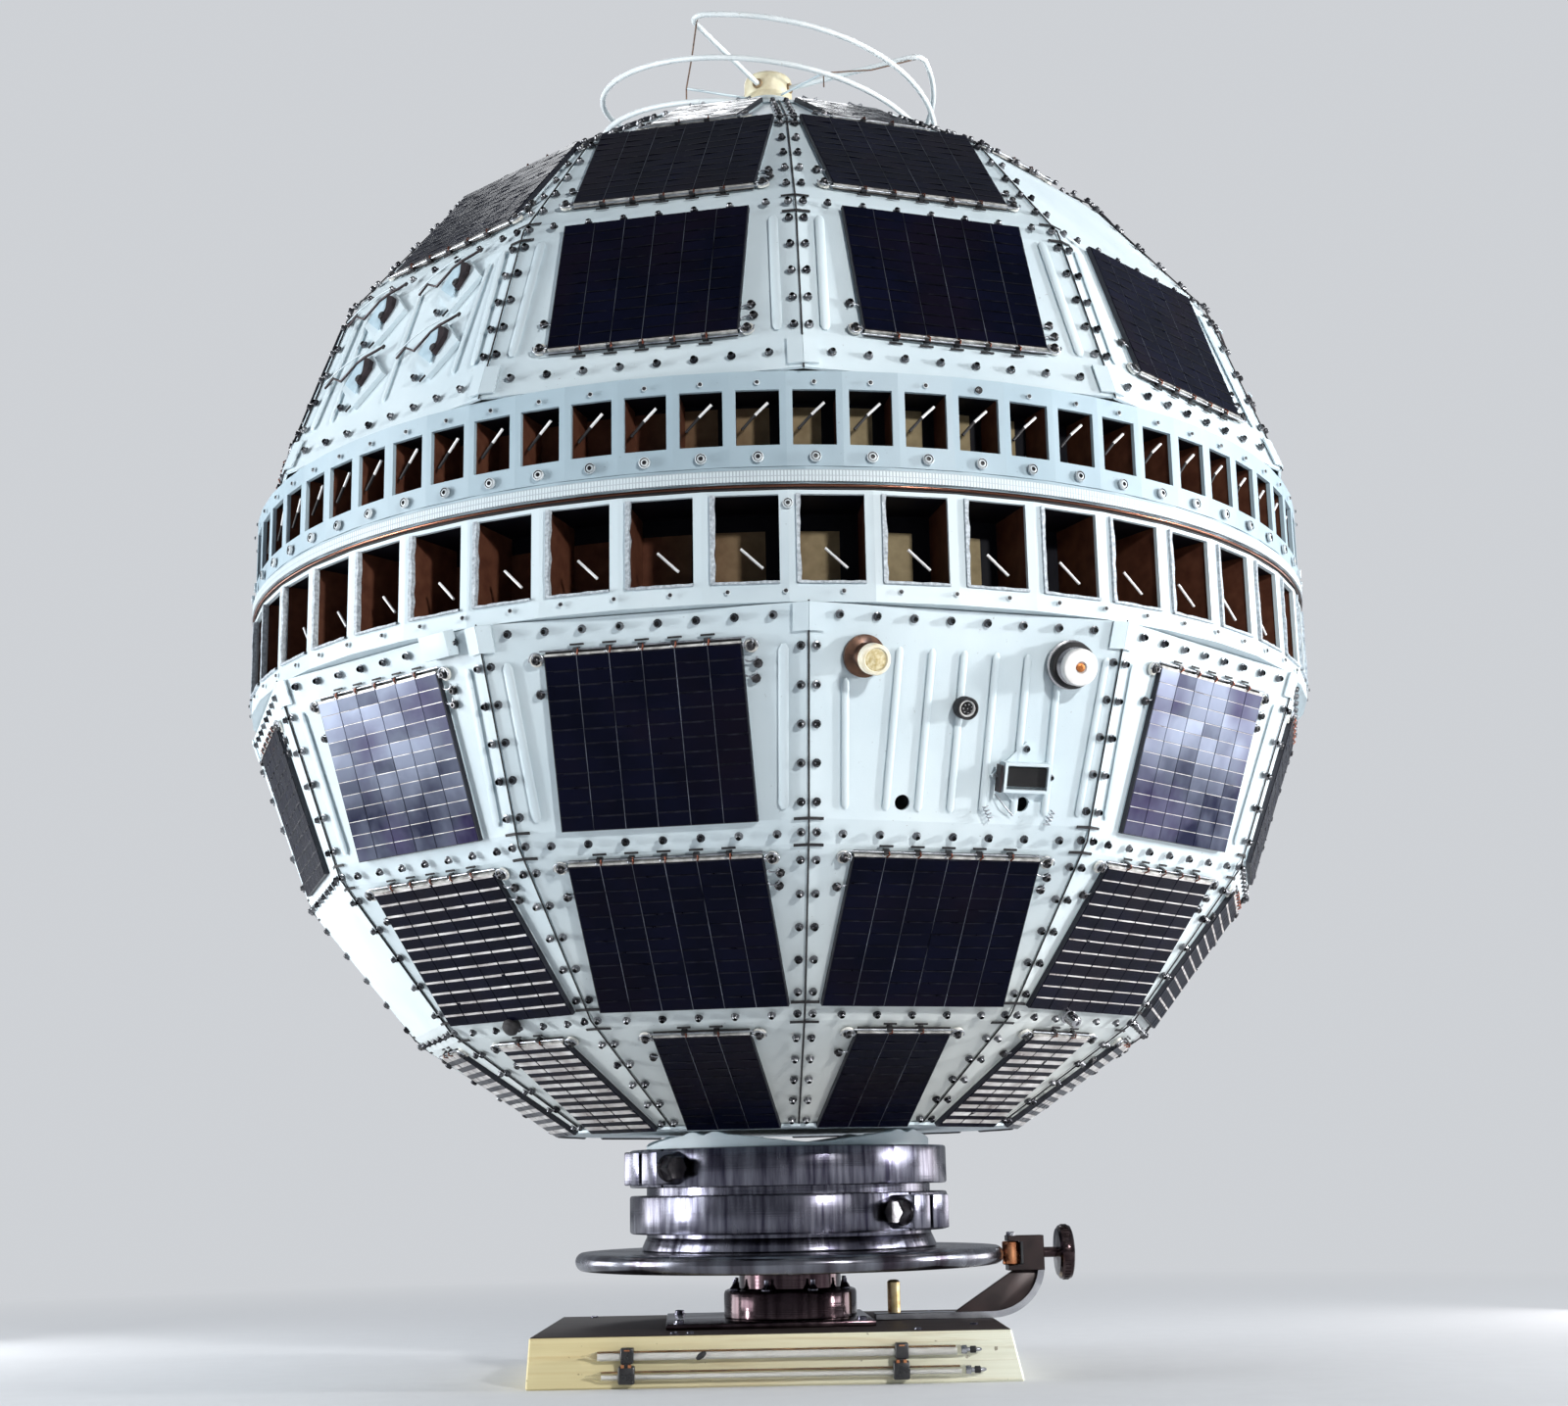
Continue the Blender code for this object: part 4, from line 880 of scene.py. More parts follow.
def arc_path(place, radius, start, end, steps, squash=1.0):
    """Points on an arc in the plane of a place."""
    angles = [math.radians(start + (end - start) * step / steps) for step in range(steps + 1)]
    return [place @ Vector((radius * math.cos(angle), radius * squash * math.sin(angle), 0))
            for angle in angles]


rail_silver = tarnished("rail_silver", (0.24, 0.25, 0.28), (0.62, 0.64, 0.68), 0.25, 180)
dark_bolts = tarnished("dark_bolts", (0.02, 0.02, 0.022), (0.13, 0.125, 0.13), 0.28, 260)
clip_copper = tarnished("clip_copper", (0.10, 0.022, 0.014), (0.26, 0.095, 0.060), 0.35, 300)
terminal_white = tarnished("terminal_white", (0.52, 0.50, 0.45), (0.78, 0.78, 0.74), 0.4, 260, metallic=0.0)
rails, loops, ties = [], [], []
bar_spots, dark_spots, clip_spots, bead_spots, terminal_spots, bolt_spots = [], [], [], [], [], []
for number, upper, level, width, length, near in trays():
    def beside(right, up, height=0.0):
        return on_facet(number, upper, level, right, near + up, height)

    half = width / 2
    flip = 1 if upper else -1
    rails.append([beside(x, -RAIL_OUT, RAIL_LIFT).translation
                  for x in (-half - RAIL_OVERHANG, half + RAIL_OVERHANG)])
    bar_spots.append(sized(beside(0, -BAR_WIDTH / 2, 0), width, BAR_WIDTH, TRAY_THICKNESS + BAR_RISE))
    dark_spots.append(sized(beside(0, -SHADOW_OUT, 0), width, SHADOW_DEPTH, SHADOW_RISE))
    columns = CELL_COLUMNS[level]
    for column in range(1, columns):
        right = column * width / columns - half
        clip_spots.append(sized(beside(right, -RAIL_OUT, 0), CLIP_WIDTH, CLIP_DEPTH,
                                RAIL_LIFT + CLIP_RISE * 0.4))
        dark_spots.append(sized(beside(right, -DASH_OUT, 0), DASH_WIDTH, DASH_DEPTH, DASH_RISE))
        bead_spots.append(sized(beside(right - SOLDER_LEFT, -SOLDER_OUT, TRAY_THICKNESS), *SOLDER_SIZE))
        ties.append([beside(right + x, y, z).translation for x, y, z in TIE])
    for side in (-1, 1):
        out = side * (half + TERMINAL_OUT)
        terminal_spots.append(beside(out, TERMINAL_UP))
        bolt_spots.append(beside(out, TERMINAL_UP, TERMINAL_RISE))
        ring = beside(out, TERMINAL_UP, TERMINAL_RISE + 0.0008)
        loops.append(arc_path(ring, TERMINAL_RADIUS * 1.06, 90 - 80 * side * flip, 90 - 290 * side * flip,
                              10))
        hook = beside(side * (half + HOOK_OUT), -RAIL_OUT * 0.2, RAIL_LIFT)
        loops.append(arc_path(hook, HOOK_RADIUS, 90 + 60 * side * flip, 90 - 120 * side * flip, 7, 0.75))
    for side, out, up in TRAY_BOLTS:
        if level < 2 or side < 0:
            bolt_spots.append(beside(side * (half + out), up))
            lead = beside(side * (half + out * 0.55), up - LEAD_DOWN, LEAD_LIFT)
            loops.append(arc_path(lead, LEAD_RADIUS, 20, 200, 6, 0.6))
add_wires("tray_rails", rails, RAIL_RADIUS, rail_silver, 6)
add_wires("terminal_loops", loops, LOOP_WIRE, rail_silver, 5)
add_wires("clip_ties", ties, TIE_WIRE, clip_copper, 5)
bar_white = tarnished("bar_white", (0.22, 0.20, 0.19), (0.84, 0.83, 0.79), 0.3, 170, metallic=0.35)
add_tiles("tray_bars", bar_spots, bar_white, 0.15, 31)
add_tiles("rail_shadows", dark_spots, slot_black)
add_tiles("rail_clips", clip_spots, dark_bolts, 6, 32)
solder = lathe([(1, 0), (0.9, 0.5), (0.5, 0.9), (0, 1)], 8)
add_shapes("solder_beads", bead_spots, solder, rail_silver, 8, 33)
terminal = lathe([(TERMINAL_RADIUS, -0.0002), (TERMINAL_RADIUS, TERMINAL_RISE * 0.7),
                  (TERMINAL_RADIUS * 0.85, TERMINAL_RISE), (0, TERMINAL_RISE)], 16)
add_shapes("tray_terminals", terminal_spots, terminal, terminal_white, 3, 34)
add_shapes("tray_bolts", bolt_spots, bolt_shape(BOLT_HEAD, BOLT_RISE, BOLT_SIDES), dark_bolts,
           5, 35)


# The belt's fasteners, grid strip and copper line
# The belt between the gores carries the windows. Small domed screws run above and below them, and
# larger ringed screws, a strip of fine mesh and a copper wire in its groove run between the rows.

BELT_INSET, BELT_TURN = 0.00513, -1.6
BELT_RADIUS = corner(0, True)[0] - BELT_INSET
BELT_HALF_HEIGHT = corner(0, True)[1] - EQUATOR
UPPER_WINDOWS, LOWER_WINDOWS, COPPER_STEPS = 72, 48, 288
# Each window row: count, post, waist level, waist rail, edge rail, horn depth, side
WINDOW_ROWS = ((UPPER_WINDOWS, 0.0086, 0.0125, 0.0149, 0.0127, 0.030, 1),
               (LOWER_WINDOWS, 0.0118, 0.0030, 0.0030, 0.0131, 0.046, -1))
GRID_LOW, GRID_HIGH, GRID_PROUD, GRID_PITCH, GRID_ROW = 0.0020, 0.0098, 0.0004, 0.0022, 0.0039
GROOVE_DEPTHS, GROOVE_LEVELS = (0.0045, 0.0024), (-0.0028, 0.0009)
COPPER_LEVEL, COPPER_RADIUS, COPPER_SINK = -0.0005, 0.0011, 0.0012
SMALL_SCREW, RINGED_SCREW = 0.0014, 0.0038
SMALL_LEVELS, RINGED_LEVEL, LOW_RINGED_LEVEL = (0.0700, -0.0712), 0.0188, -0.0128
RINGED_AZIMUTHS, PORT_HOLE_AZIMUTHS, LOW_SCREW_TURN = (-1.6, 118.4, 238.4), (15.9, 135.9, 255.9), 2.2


def belt_wall(azimuth, level, sides=UPPER_WINDOWS):
    """The place on a belt ring of flat sides, Z out and Y up."""
    span = 360 / sides
    offset = (azimuth - BELT_TURN) % span - span / 2
    radius = BELT_RADIUS * math.cos(math.radians(span / 2)) / math.cos(math.radians(offset))
    stand = Matrix.Translation(polar(radius, azimuth, EQUATOR + level))
    return stand @ turn(azimuth) @ tipped("X")


def grid_mesh():
    """Fine woven mesh: pale wires with dark spaces, by angle and height."""
    finish = Finish("grid_mesh")
    x, y, z = finish.apart()
    angle = x.math("ARCTAN2", y)
    across = (angle * (BELT_RADIUS / GRID_PITCH)).math("FRACT")
    level = ((z - (EQUATOR + GRID_LOW)) * (1 / GRID_ROW)).math("FRACT")
    space = across.above(0.62, 0.1).math("MAXIMUM", level.above(0.86, 0.1))
    fade = finish.noise(6, 2).above(0.5, 0.5)
    colour = finish.mix(space * (0.35 + 0.4 * fade), (0.62, 0.70, 0.73), (0.24, 0.28, 0.33))
    normal = finish.bump(1 - space, 0.0003, 0.7)
    return finish.set(Base_Color=colour, Roughness=0.45, Normal=normal)


def ring_strip(bm, inner, outer, low, high, sides=288):
    """A closed ring of rectangular section."""
    section = ((outer, low), (outer, high), (inner, high), (inner, low))
    loft(bm, [[polar(radius, 360 * step / sides, EQUATOR + level) for radius, level in section]
              for step in range(sides)], closed=True)


painted_screws = screw_finish("painted_screw", (0.42, 0.47, 0.50), (0.72, 0.77, 0.79), (0.015, 0.014, 0.018),
                              0.3, 0.0)
# A dark domed screw in a thin pale rim, and a pale cup washer round a small dark socket; that socket
# and the groove round the cup are painted near black, a painted shade in these recesses
small_screw = lathe([(1.35, -0.1), (1.30, 0.25), (1.0, 0.30), (0.85, 0.75), (0.3, 0.9), (0, 0.9)], 8)
ringed_screw = lathe([(1.0, -0.1), (1.0, 0.3), (0.86, 0.42), (0.74, 0.2), (0.66, 0.34), (0.40, 0.40),
                      (0.34, 0.1), (0, 0.1)], 12)
small_spots, ringed_spots = [], []
for index in range(UPPER_WINDOWS):
    azimuth = BELT_TURN + (index + 0.5) * 360 / UPPER_WINDOWS
    small_spots.append(sized(belt_wall(azimuth, SMALL_LEVELS[0]), SMALL_SCREW))
    ringed_spots.append(sized(belt_wall(azimuth, RINGED_LEVEL), RINGED_SCREW))
    small_spots.append(sized(belt_wall(azimuth + LOW_SCREW_TURN, SMALL_LEVELS[1], LOWER_WINDOWS),
                             SMALL_SCREW))
for azimuth in RINGED_AZIMUTHS:
    ringed_spots.append(sized(belt_wall(azimuth, LOW_RINGED_LEVEL, LOWER_WINDOWS), RINGED_SCREW * 0.9))
add_shapes("belt_small_screws", small_spots, with_socket(small_screw, (0, 0.95)), painted_screws,
           6, 41)
add_shapes("belt_ringed_screws", ringed_spots, with_socket(ringed_screw, (0, 0.37), (0.70, 0.80)),
           painted_screws, 5, 42)
strip = bmesh.new()
ring_strip(strip, BELT_RADIUS - 0.0015, BELT_RADIUS + GRID_PROUD, GRID_LOW, GRID_HIGH)
add_mesh("belt_grid_strip", strip, grid_mesh())
# The groove is lined near black, a painted shade under the copper wire
groove = bmesh.new()
ring_strip(groove, *[BELT_RADIUS - depth for depth in GROOVE_DEPTHS], *GROOVE_LEVELS)
add_mesh("belt_groove_lining", groove, slot_black)
circle = [polar(BELT_RADIUS - COPPER_SINK, 360 * step / COPPER_STEPS, EQUATOR + COPPER_LEVEL)
          for step in range(COPPER_STEPS + 1)]
copper_line = tarnished("copper_line", (0.030, 0.012, 0.010), (0.30, 0.13, 0.085), 0.14, 5)
add_wires("belt_copper_line", [circle], COPPER_RADIUS, copper_line, 10)
hole = lathe(mm((2.6, 0.1), (2.6, 0.4), (2.1, 0.5), (0, 0.3)), 16)
add_shapes("belt_port_holes", [belt_wall(azimuth, SMALL_LEVELS[0]) for azimuth in PORT_HOLE_AZIMUTHS], hole,
           slot_black)


# The horns and their probes
# Behind each window is an open box of bronze sheet, painted black as painted shade but for a tan
# part at its back and its side walls. A thin probe stands aslant in it. Rough grey sealant dresses
# the lower windows' edges.

BELT_WALL, CUP_WALL, CUP_MARGIN = 0.003, 0.0015, 0.0008
# Where the tan of a back ends and its painted shade begins, in parts of its width and height, and how tan the
# side walls are
TAN_RIGHT, TAN_TOPS, WALL_TAN = 0.24, {1: 0.46, -1: 0.32}, 0.5
# The probes of the upper and of the lower row, as points right, up and in from a window's middle
PROBE_RADIUS = 0.0010
PROBES = (((-0.0105, -0.0070, 0.0055), (-0.0018, 0.0028, 0.0055), (0.0068, 0.0108, 0.0045)),
          ((-0.0034, -0.0044, 0.0095), (0.0108, -0.0182, 0.0080)))
SEALANT_WIDTH, SEALANT_STEPS, rough = 0.0024, 9, random.Random(7)


def window_rows():
    """Count, width, height, middle level, horn depth and side of each row."""
    for count, post, waist, waist_rail, edge_rail, depth, side in WINDOW_ROWS:
        width = math.tau * BELT_RADIUS / count - post
        low, high = waist + waist_rail, BELT_HALF_HEIGHT - edge_rail
        yield count, width, high - low, side * (low + high) / 2, depth, side


def horn_bronze():
    """Tan phenolic, redder round the left of the ball, where the faces are marked; elsewhere black, a painted
    shade.
    """
    finish = Finish("horn_bronze")
    x, y, z = finish.apart()
    part = finish.marked("tan")
    mottle = finish.noise(95, 4).above(0.5, 0.4)
    tan = finish.mix(mottle, (0.20, 0.155, 0.085), (0.29, 0.235, 0.135))
    red = finish.mix(mottle, (0.070, 0.024, 0.014), (0.115, 0.044, 0.025))
    angle = x.math("ARCTAN2", 0 - y)
    ripe = (angle * 2.0 + 0.9).math("SINE").above(0.62, 0.55)
    # The black stands for the shade inside the box: painted shade
    black = finish.mix(mottle, (0.0018, 0.0022, 0.0050), (0.0050, 0.0050, 0.0085))
    colour = finish.mix(part.above(0.25, 0.05), black, finish.mix(ripe * part.above(0.75, 0.05), red, tan))
    return finish.set(Base_Color=colour, Roughness=0.6, Specular_IOR_Level=0.12)


def add_cup(cups, mark, face, width, height, depth, tan_top):
    """An open box behind a window; the faces of its inside say how tan they are, and those left unmarked are
    painted black as painted shade.
    """
    def corners(spread, z):
        return [cups.verts.new(face @ Vector((right * (width / 2 + spread), up * (height / 2 + spread), z)))
                for right, up in ((-1, -1), (1, -1), (1, 1), (-1, 1))]
    back = -BELT_WALL - depth
    mouth, lip = corners(CUP_MARGIN, -BELT_WALL * 0.95), corners(CUP_MARGIN + CUP_WALL, -BELT_WALL * 0.95)
    inner, outer = corners(CUP_MARGIN, back), corners(CUP_MARGIN + CUP_WALL, back - CUP_WALL)
    low, right, middle, top, left = [
        cups.verts.new(face @ Vector((x, y, back))) for x, y in (
            (TAN_RIGHT * width, -height / 2 - CUP_MARGIN), (width / 2 + CUP_MARGIN, tan_top * height),
            (TAN_RIGHT * width, tan_top * height), (TAN_RIGHT * width, height / 2 + CUP_MARGIN),
            (-width / 2 - CUP_MARGIN, tan_top * height))]
    cups.faces.new((inner[0], low, middle, left))[mark] = 1.0
    cups.faces.new((left, inner[3], mouth[3], mouth[0], inner[0]))[mark] = WALL_TAN
    cups.faces.new((inner[1], mouth[1], mouth[2], inner[2], right))[mark] = WALL_TAN
    for loop in ((low, inner[1], right, middle), (middle, right, inner[2], top),
                 (left, middle, top, inner[3]),
                 (inner[0], mouth[0], mouth[1], inner[1], low),
                 (inner[2], mouth[2], mouth[3], inner[3], top), outer):
        cups.faces.new(loop)
    for side in range(4):
        after = (side + 1) % 4
        cups.faces.new((mouth[side], lip[side], lip[after], mouth[after]))
        cups.faces.new((lip[side], outer[side], outer[after], lip[after]))


belt_paint = white_paint("belt_paint", dark=(0.27, 0.36, 0.42), pale=(0.43, 0.54, 0.60))
dress(belt_paint, "belt_upper", "belt_waist")
dress(trim_paint, "belt_lower")
probe_paint = tarnished("probe_paint", (0.80, 0.80, 0.80), (0.92, 0.92, 0.92), 0.3, 200, metallic=0.0)
bronze, white_rods, black_rods, jambs = horn_bronze(), [], [], bmesh.new()
for (count, width, height, middle, depth, side), points in zip(window_rows(), PROBES):
    cups = bmesh.new()
    mark = cups.faces.layers.float.new("tan")
    for index in range(count):
        face = belt_wall(BELT_TURN + (index + 0.5) * 360 / count, middle, count)
        add_cup(cups, mark, face, width, height, depth, TAN_TOPS[side])
        rod = [face @ Vector((right, up, -inward)) for right, up, inward in points]
        white_rods.append(rod[-2:])
        if len(rod) > 2:
            black_rods.append(rod[:2])
    name = "upper" if side > 0 else "lower"
    cup = add_mesh(f"horn_cups_{name}", cups, bronze, sharp=20)
    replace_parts(cup, f"horns_{name}")
add_wires("horn_probes", white_rods, PROBE_RADIUS, probe_paint, 7)
add_wires("horn_probe_feet", black_rods, PROBE_RADIUS, slot_black, 7)
count, width, height, middle = list(window_rows())[1][:4]
for index in range(count):
    face = belt_wall(BELT_TURN + (index + 0.5) * 360 / count, middle, count)
    for along, reach in ((True, height / 2), (False, width / 2)):
        rows = []
        for step in range(SEALANT_STEPS + 1):
            place = reach * (2 * step / SEALANT_STEPS - 1)
            thick = SEALANT_WIDTH * (1 if along else 0.45) * (0.7 + 0.6 * rough.random())
            proud = 0.0002 + 0.0005 * rough.random()
            across = ((-thick, -0.0030), (-thick * 0.9, proud), (0.0006, proud), (0.0006, -0.0030))
            points = [(-width / 2 - x, place, z) if along else (place, -height / 2 - x, z) for x, z in across]
            rows.append([face @ Vector(point) for point in points])
        loft(jambs, rows)
sealant = tarnished("sealant_grey", (0.20, 0.23, 0.27), (0.62, 0.68, 0.72), 0.5, 420, metallic=0.0)
add_mesh("window_sealant", jambs, sealant, sharp=25)


# The reflectors of the bare upper facets
# Four corner reflectors on each bare upper facet are cut from polished sheet: a pale blue facing
# beside a dark folded strip and bracket, real parts whose near black also paints the shadow along
# the facing's upper edges, with a hinge eye, a wire latch and a small fixing below, whose long
# shadow is painted as a black slash.

REFLECTOR_PLACES = ((0.043, 0.0875), (0.043, 0.0295), (-0.043, 0.0875), (-0.043, 0.0295))
REFLECTOR_RISE, LATCH_SCALE = 0.004, 0.6
# Points right of and up the slope from a reflector's middle, with their heights above the sheet
FACING = mm((-17.5, 0), (-9.5, 17), (-0.5, 19.5), (1.5, -14))
STRIP = mm((-51, 9.5, 1), (-39, 13, 4), (-24, 4.5, 5), (-10, 16.5, 5.2), (-1, 19, 5.8), (10, 21.5, 5),
           (16.5, 24, 4.2))
EDGE_WIRE = mm((-50.5, 12, 3), (-30, 15, 7), (-12, 20.5, 7.5), (2, 22.5, 7))
BRACKET = mm((-1, 19), (8, 14), (9.5, 6), (3, -7), (-0.5, -3.5), (3.5, 4))
# The last point places the black slash that paints the fixing's shadow
HINGE_EYE, LATCH_END, FIXING, FIXING_SHADOW = mm((1.2, -1.2), (16.5, 24), (-18.5, -18), (-7, -21.2))
# The shallow beads between the reflectors: where they lie, how they run up the slope, width and rise
FACET_GROOVES, GROOVE_SLOPES, GROOVE_SIZE = mm((-70, -8, 70), (34, 37, 128, 131), (4.2, 0.9))
FIXING_SHADOW_TURN, FIXING_SHADOW_SIZE = 42, (0.0085, 0.0012, 0.0011)


def flat_plate(bm, outline, low, high):
    """A plate whose outline is given as places, between two heights over them."""
    loft(bm, [[place @ Vector((0, 0, height)) for place in outline] for height in (low, high)], ends=True)


reflector_blue = tarnished("reflector_blue", (0.36, 0.50, 0.58), (0.52, 0.66, 0.74), 0.3, 120, metallic=0.0)
reflector_dark = tarnished("reflector_dark", (0.012, 0.008, 0.010), (0.055, 0.038, 0.042), 0.35, 160,
                           metallic=0.6)
facings, brackets, grooves = bmesh.new(), bmesh.new(), bmesh.new()
strips, edge_wires, eye_spots, fixing_spots, fixing_shadow_spots = [], [], [], [], []
for number in BARE_GORES[True][0]:
    fold = facet_length(0, True)
    for across, down in REFLECTOR_PLACES:
        def near(right, up, height=0.0):
            return on_facet(number, True, 0, across + right, fold - down + up, height)

        flat_plate(facings, [near(*point) for point in FACING], REFLECTOR_RISE - 0.0002,
                   REFLECTOR_RISE + 0.0008)
        # The bracket and the strip are near black, which also paints the shadow along the facing's upper
        # edges
        flat_plate(brackets, [near(*point) for point in BRACKET], 0.0002, REFLECTOR_RISE + 0.0022)
        strips.append([near(*point).translation for point in STRIP])
        edge_wires.append([near(*point).translation for point in EDGE_WIRE])
        eye_spots.append(near(*HINGE_EYE, REFLECTOR_RISE + 0.0020))
        eye_spots.append(sized(near(*LATCH_END, REFLECTOR_RISE), LATCH_SCALE))
        fixing_spots.append(near(*FIXING))
        fixing_shadow_spots.append(sized(near(*FIXING_SHADOW) @ turn(FIXING_SHADOW_TURN), *FIXING_SHADOW_SIZE))
    for right in FACET_GROOVES:
        places = [on_facet(number, True, 0, right, slope, SHEET_LIFT) for slope in GROOVE_SLOPES]
        ridge(grooves, places, *GROOVE_SIZE)
add_mesh("reflector_facings", facings, reflector_blue)
add_mesh("reflector_brackets", brackets, reflector_dark)
add_mesh("reflector_grooves", grooves, sheet_paint, sharp=60)
add_wires("reflector_strips", strips, 0.0010, reflector_dark, 6)
add_wires("reflector_edge_wires", edge_wires, 0.00055, trim_paint, 5)
eye = lathe(mm((3, -1), (3, 0.8), (2.2, 1.4), (1.2, 1), (0, 1)), 12)
add_shapes("reflector_eyes", eye_spots, eye, slot_black)
add_shapes("reflector_fixings", fixing_spots, screw_shape(), screws, 3, 51)
# Black slashes below the fixings are their painted shadows
add_tiles("reflector_slashes", fixing_shadow_spots, slot_black)


# The antenna
# Four white enamelled rods leave an ivory hub, bend down at their ends and wind round the mast
# as a loose helix. Thin stay rods and brown lacing cords hold them off the top cover.

MAST_RADIUS, MAST_FOOT_RADIUS, MAST_HEIGHT = 0.024, 0.072, 0.088
HUB_RADIUS, HUB_ROUNDING = 0.021, 0.005
HELIX_RADIUS, ROD_RADIUS, HELIX_BEND = 0.146, 0.0023, 0.012
HELIX_SWEEP, HELIX_ARMS, HELIX_START, FIT = 232.0, 4, -28.6, 0.0003
BEND_STEPS, HELIX_STEPS = 6, 64
# The stays and the short struts leave the hub at these angles from each rod
STAY_TURN, STRUT_TURN, STRUT_REACH, STRUT_DROP = -30, 18, 1.9, 0.022
STAY_RADIUS, LACING_RADIUS, STAY_REACH, STAY_LEVEL = 0.0011, 0.0007, 0.085, 0.013
COVER_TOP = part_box("top_cover")[1].z
HUB_LOW, HUB_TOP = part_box("antenna_hub")[0].z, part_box("antenna_hub")[1].z


def helix_path(azimuth):
    """One rod: level from the hub, a rounded bend, then an even fall round the mast."""
    start, end = (HUB_LOW + HUB_TOP) / 2, COVER_TOP + 2 * FIT + ROD_RADIUS
    turned_by = math.degrees(HELIX_BEND / HELIX_RADIUS)
    points = [polar(HUB_RADIUS * 0.8, azimuth, start), polar(HELIX_RADIUS - HELIX_BEND, azimuth, start)]
    for step in range(1, BEND_STEPS):
        part = step / BEND_STEPS
        points.append(polar(HELIX_RADIUS - HELIX_BEND * (1 - part) ** 2, azimuth + turned_by * part ** 2,
                            start))
    for step in range(HELIX_STEPS + 1):
        part = step / HELIX_STEPS
        angle = azimuth + turned_by + (HELIX_SWEEP - turned_by) * part
        points.append(polar(HELIX_RADIUS, angle, start - (start - end) * part))
    return points


def enamel():
    """Brushed white enamel with faint drips and rubbed spots."""
    finish = Finish("rod_enamel")
    drip = finish.noise(60, 3).above(0.5, 0.5)
    rub = finish.noise(300, 2).above(0.70, 0.06)
    colour = finish.mix(drip, (0.66, 0.72, 0.74), (0.80, 0.84, 0.85))
    colour = finish.mix(rub * 0.4, colour, (0.40, 0.38, 0.34))
    return finish.set(Base_Color=colour, Roughness=0.3 + 0.15 * drip, Normal=finish.bump(drip, 0.0003, 0.5))


def ivory():
    """Moulded ivory plastic with brown stains here and there."""
    finish = Finish("hub_ivory")
    dark_tone = finish.noise(70, 4).above(0.55, 0.3)
    cloud = finish.noise(200, 3).above(0.5, 0.6)
    colour = finish.mix(cloud, (0.66, 0.60, 0.40), (0.78, 0.74, 0.56))
    colour = finish.mix(dark_tone * 0.45, colour, (0.30, 0.19, 0.08))
    return finish.set(Base_Color=colour, Roughness=0.38 + 0.15 * cloud,
                      Normal=finish.bump(cloud, 0.0004, 0.5))


rod_paint, hub_ivory = enamel(), ivory()
helices = [helix_path(HELIX_START + arm * 360 / HELIX_ARMS) for arm in range(HELIX_ARMS)]
rods = add_wires("antenna_rods", helices, ROD_RADIUS, rod_paint, 14)
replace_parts(rods, *[f"antenna_arm_{arm}" for arm in range(1, HELIX_ARMS + 1)])
low, high, edge = HUB_LOW, HUB_TOP, HUB_ROUNDING
profile = [(0, low), (HUB_RADIUS * 0.94, low), (HUB_RADIUS, low + 0.001), (HUB_RADIUS, low + 0.006),
           (HUB_RADIUS * 0.985, low + 0.0065), (HUB_RADIUS * 0.985, low + 0.0072), (HUB_RADIUS, low + 0.0077)]
for step in range(7):
    angle = math.radians(90 * step / 6)
    profile.append((HUB_RADIUS - edge + edge * math.cos(angle), high - edge + edge * math.sin(angle)))
profile.append((0, high))
hub = add_mesh("antenna_hub_body", lathe(profile, 64), hub_ivory)
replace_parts(hub, "antenna_hub")
collar_spots = []
for arm in range(HELIX_ARMS):
    azimuth = HELIX_START + arm * 360 / HELIX_ARMS
    root = Matrix.Translation(polar(HUB_RADIUS - 0.0006, azimuth, (HUB_LOW + HUB_TOP) / 2))
    collar_spots.append(root @ turn(azimuth) @ tipped("X"))
collar = lathe(mm((4.6, 0), (4.6, 1.4), (4, 2), (3, 1.2), (2.2, 1)), 16)
root_brown = tarnished("root_brown", (0.14, 0.08, 0.035), (0.34, 0.24, 0.12), 0.5, 250, metallic=0.0)
add_shapes("antenna_root_collars", collar_spots, collar, root_brown)
neck = HUB_LOW - 0.0003
mast = lathe([(0, COVER_TOP + FIT), (MAST_FOOT_RADIUS, COVER_TOP + FIT),
              (MAST_FOOT_RADIUS, COVER_TOP + 0.0025), (MAST_FOOT_RADIUS * 0.85, neck - MAST_HEIGHT * 0.30),
              (MAST_RADIUS * 1.02, neck - 0.0012), (MAST_RADIUS * 0.98, neck), (0, neck)], 72)
cone = add_mesh("antenna_mast_cone", mast, trim_paint, sharp=20)
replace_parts(cone, "antenna_mast")
stays, laces = [], []
for arm in range(HELIX_ARMS):
    azimuth = HELIX_START + arm * 360 / HELIX_ARMS
    inner = polar(HUB_RADIUS * 0.9, azimuth + STAY_TURN, HUB_LOW + 0.003)
    outer = polar(STAY_REACH, azimuth + STAY_TURN, HUB_LOW - 0.006)
    stays.append([inner, outer])
    bend = polar(HELIX_RADIUS - 0.004, azimuth + 2, (HUB_LOW + HUB_TOP) / 2)
    middle = (bend + outer) / 2 - Vector((0, 0, 0.004))
    laces.append([bend, middle, outer, outer - Vector((0, 0, STAY_LEVEL))])
    foot = polar(HUB_RADIUS * STRUT_REACH, azimuth + STRUT_TURN, neck - STRUT_DROP)
    stays.append([polar(HUB_RADIUS * 0.9, azimuth + STRUT_TURN, HUB_LOW + 0.002), foot])
add_wires("antenna_stays", stays, STAY_RADIUS, trim_paint, 8)
lacing = tarnished("lacing_cord", (0.10, 0.06, 0.045), (0.24, 0.16, 0.12), 0.7, 300, metallic=0.0)
add_wires("antenna_lacing", laces, LACING_RADIUS, lacing, 6)


# The strap ends round the top cover
# The seam straps run on over the edge of the top cover, with dark slots between them, and small
# wire hooks stand along the cover's edge.

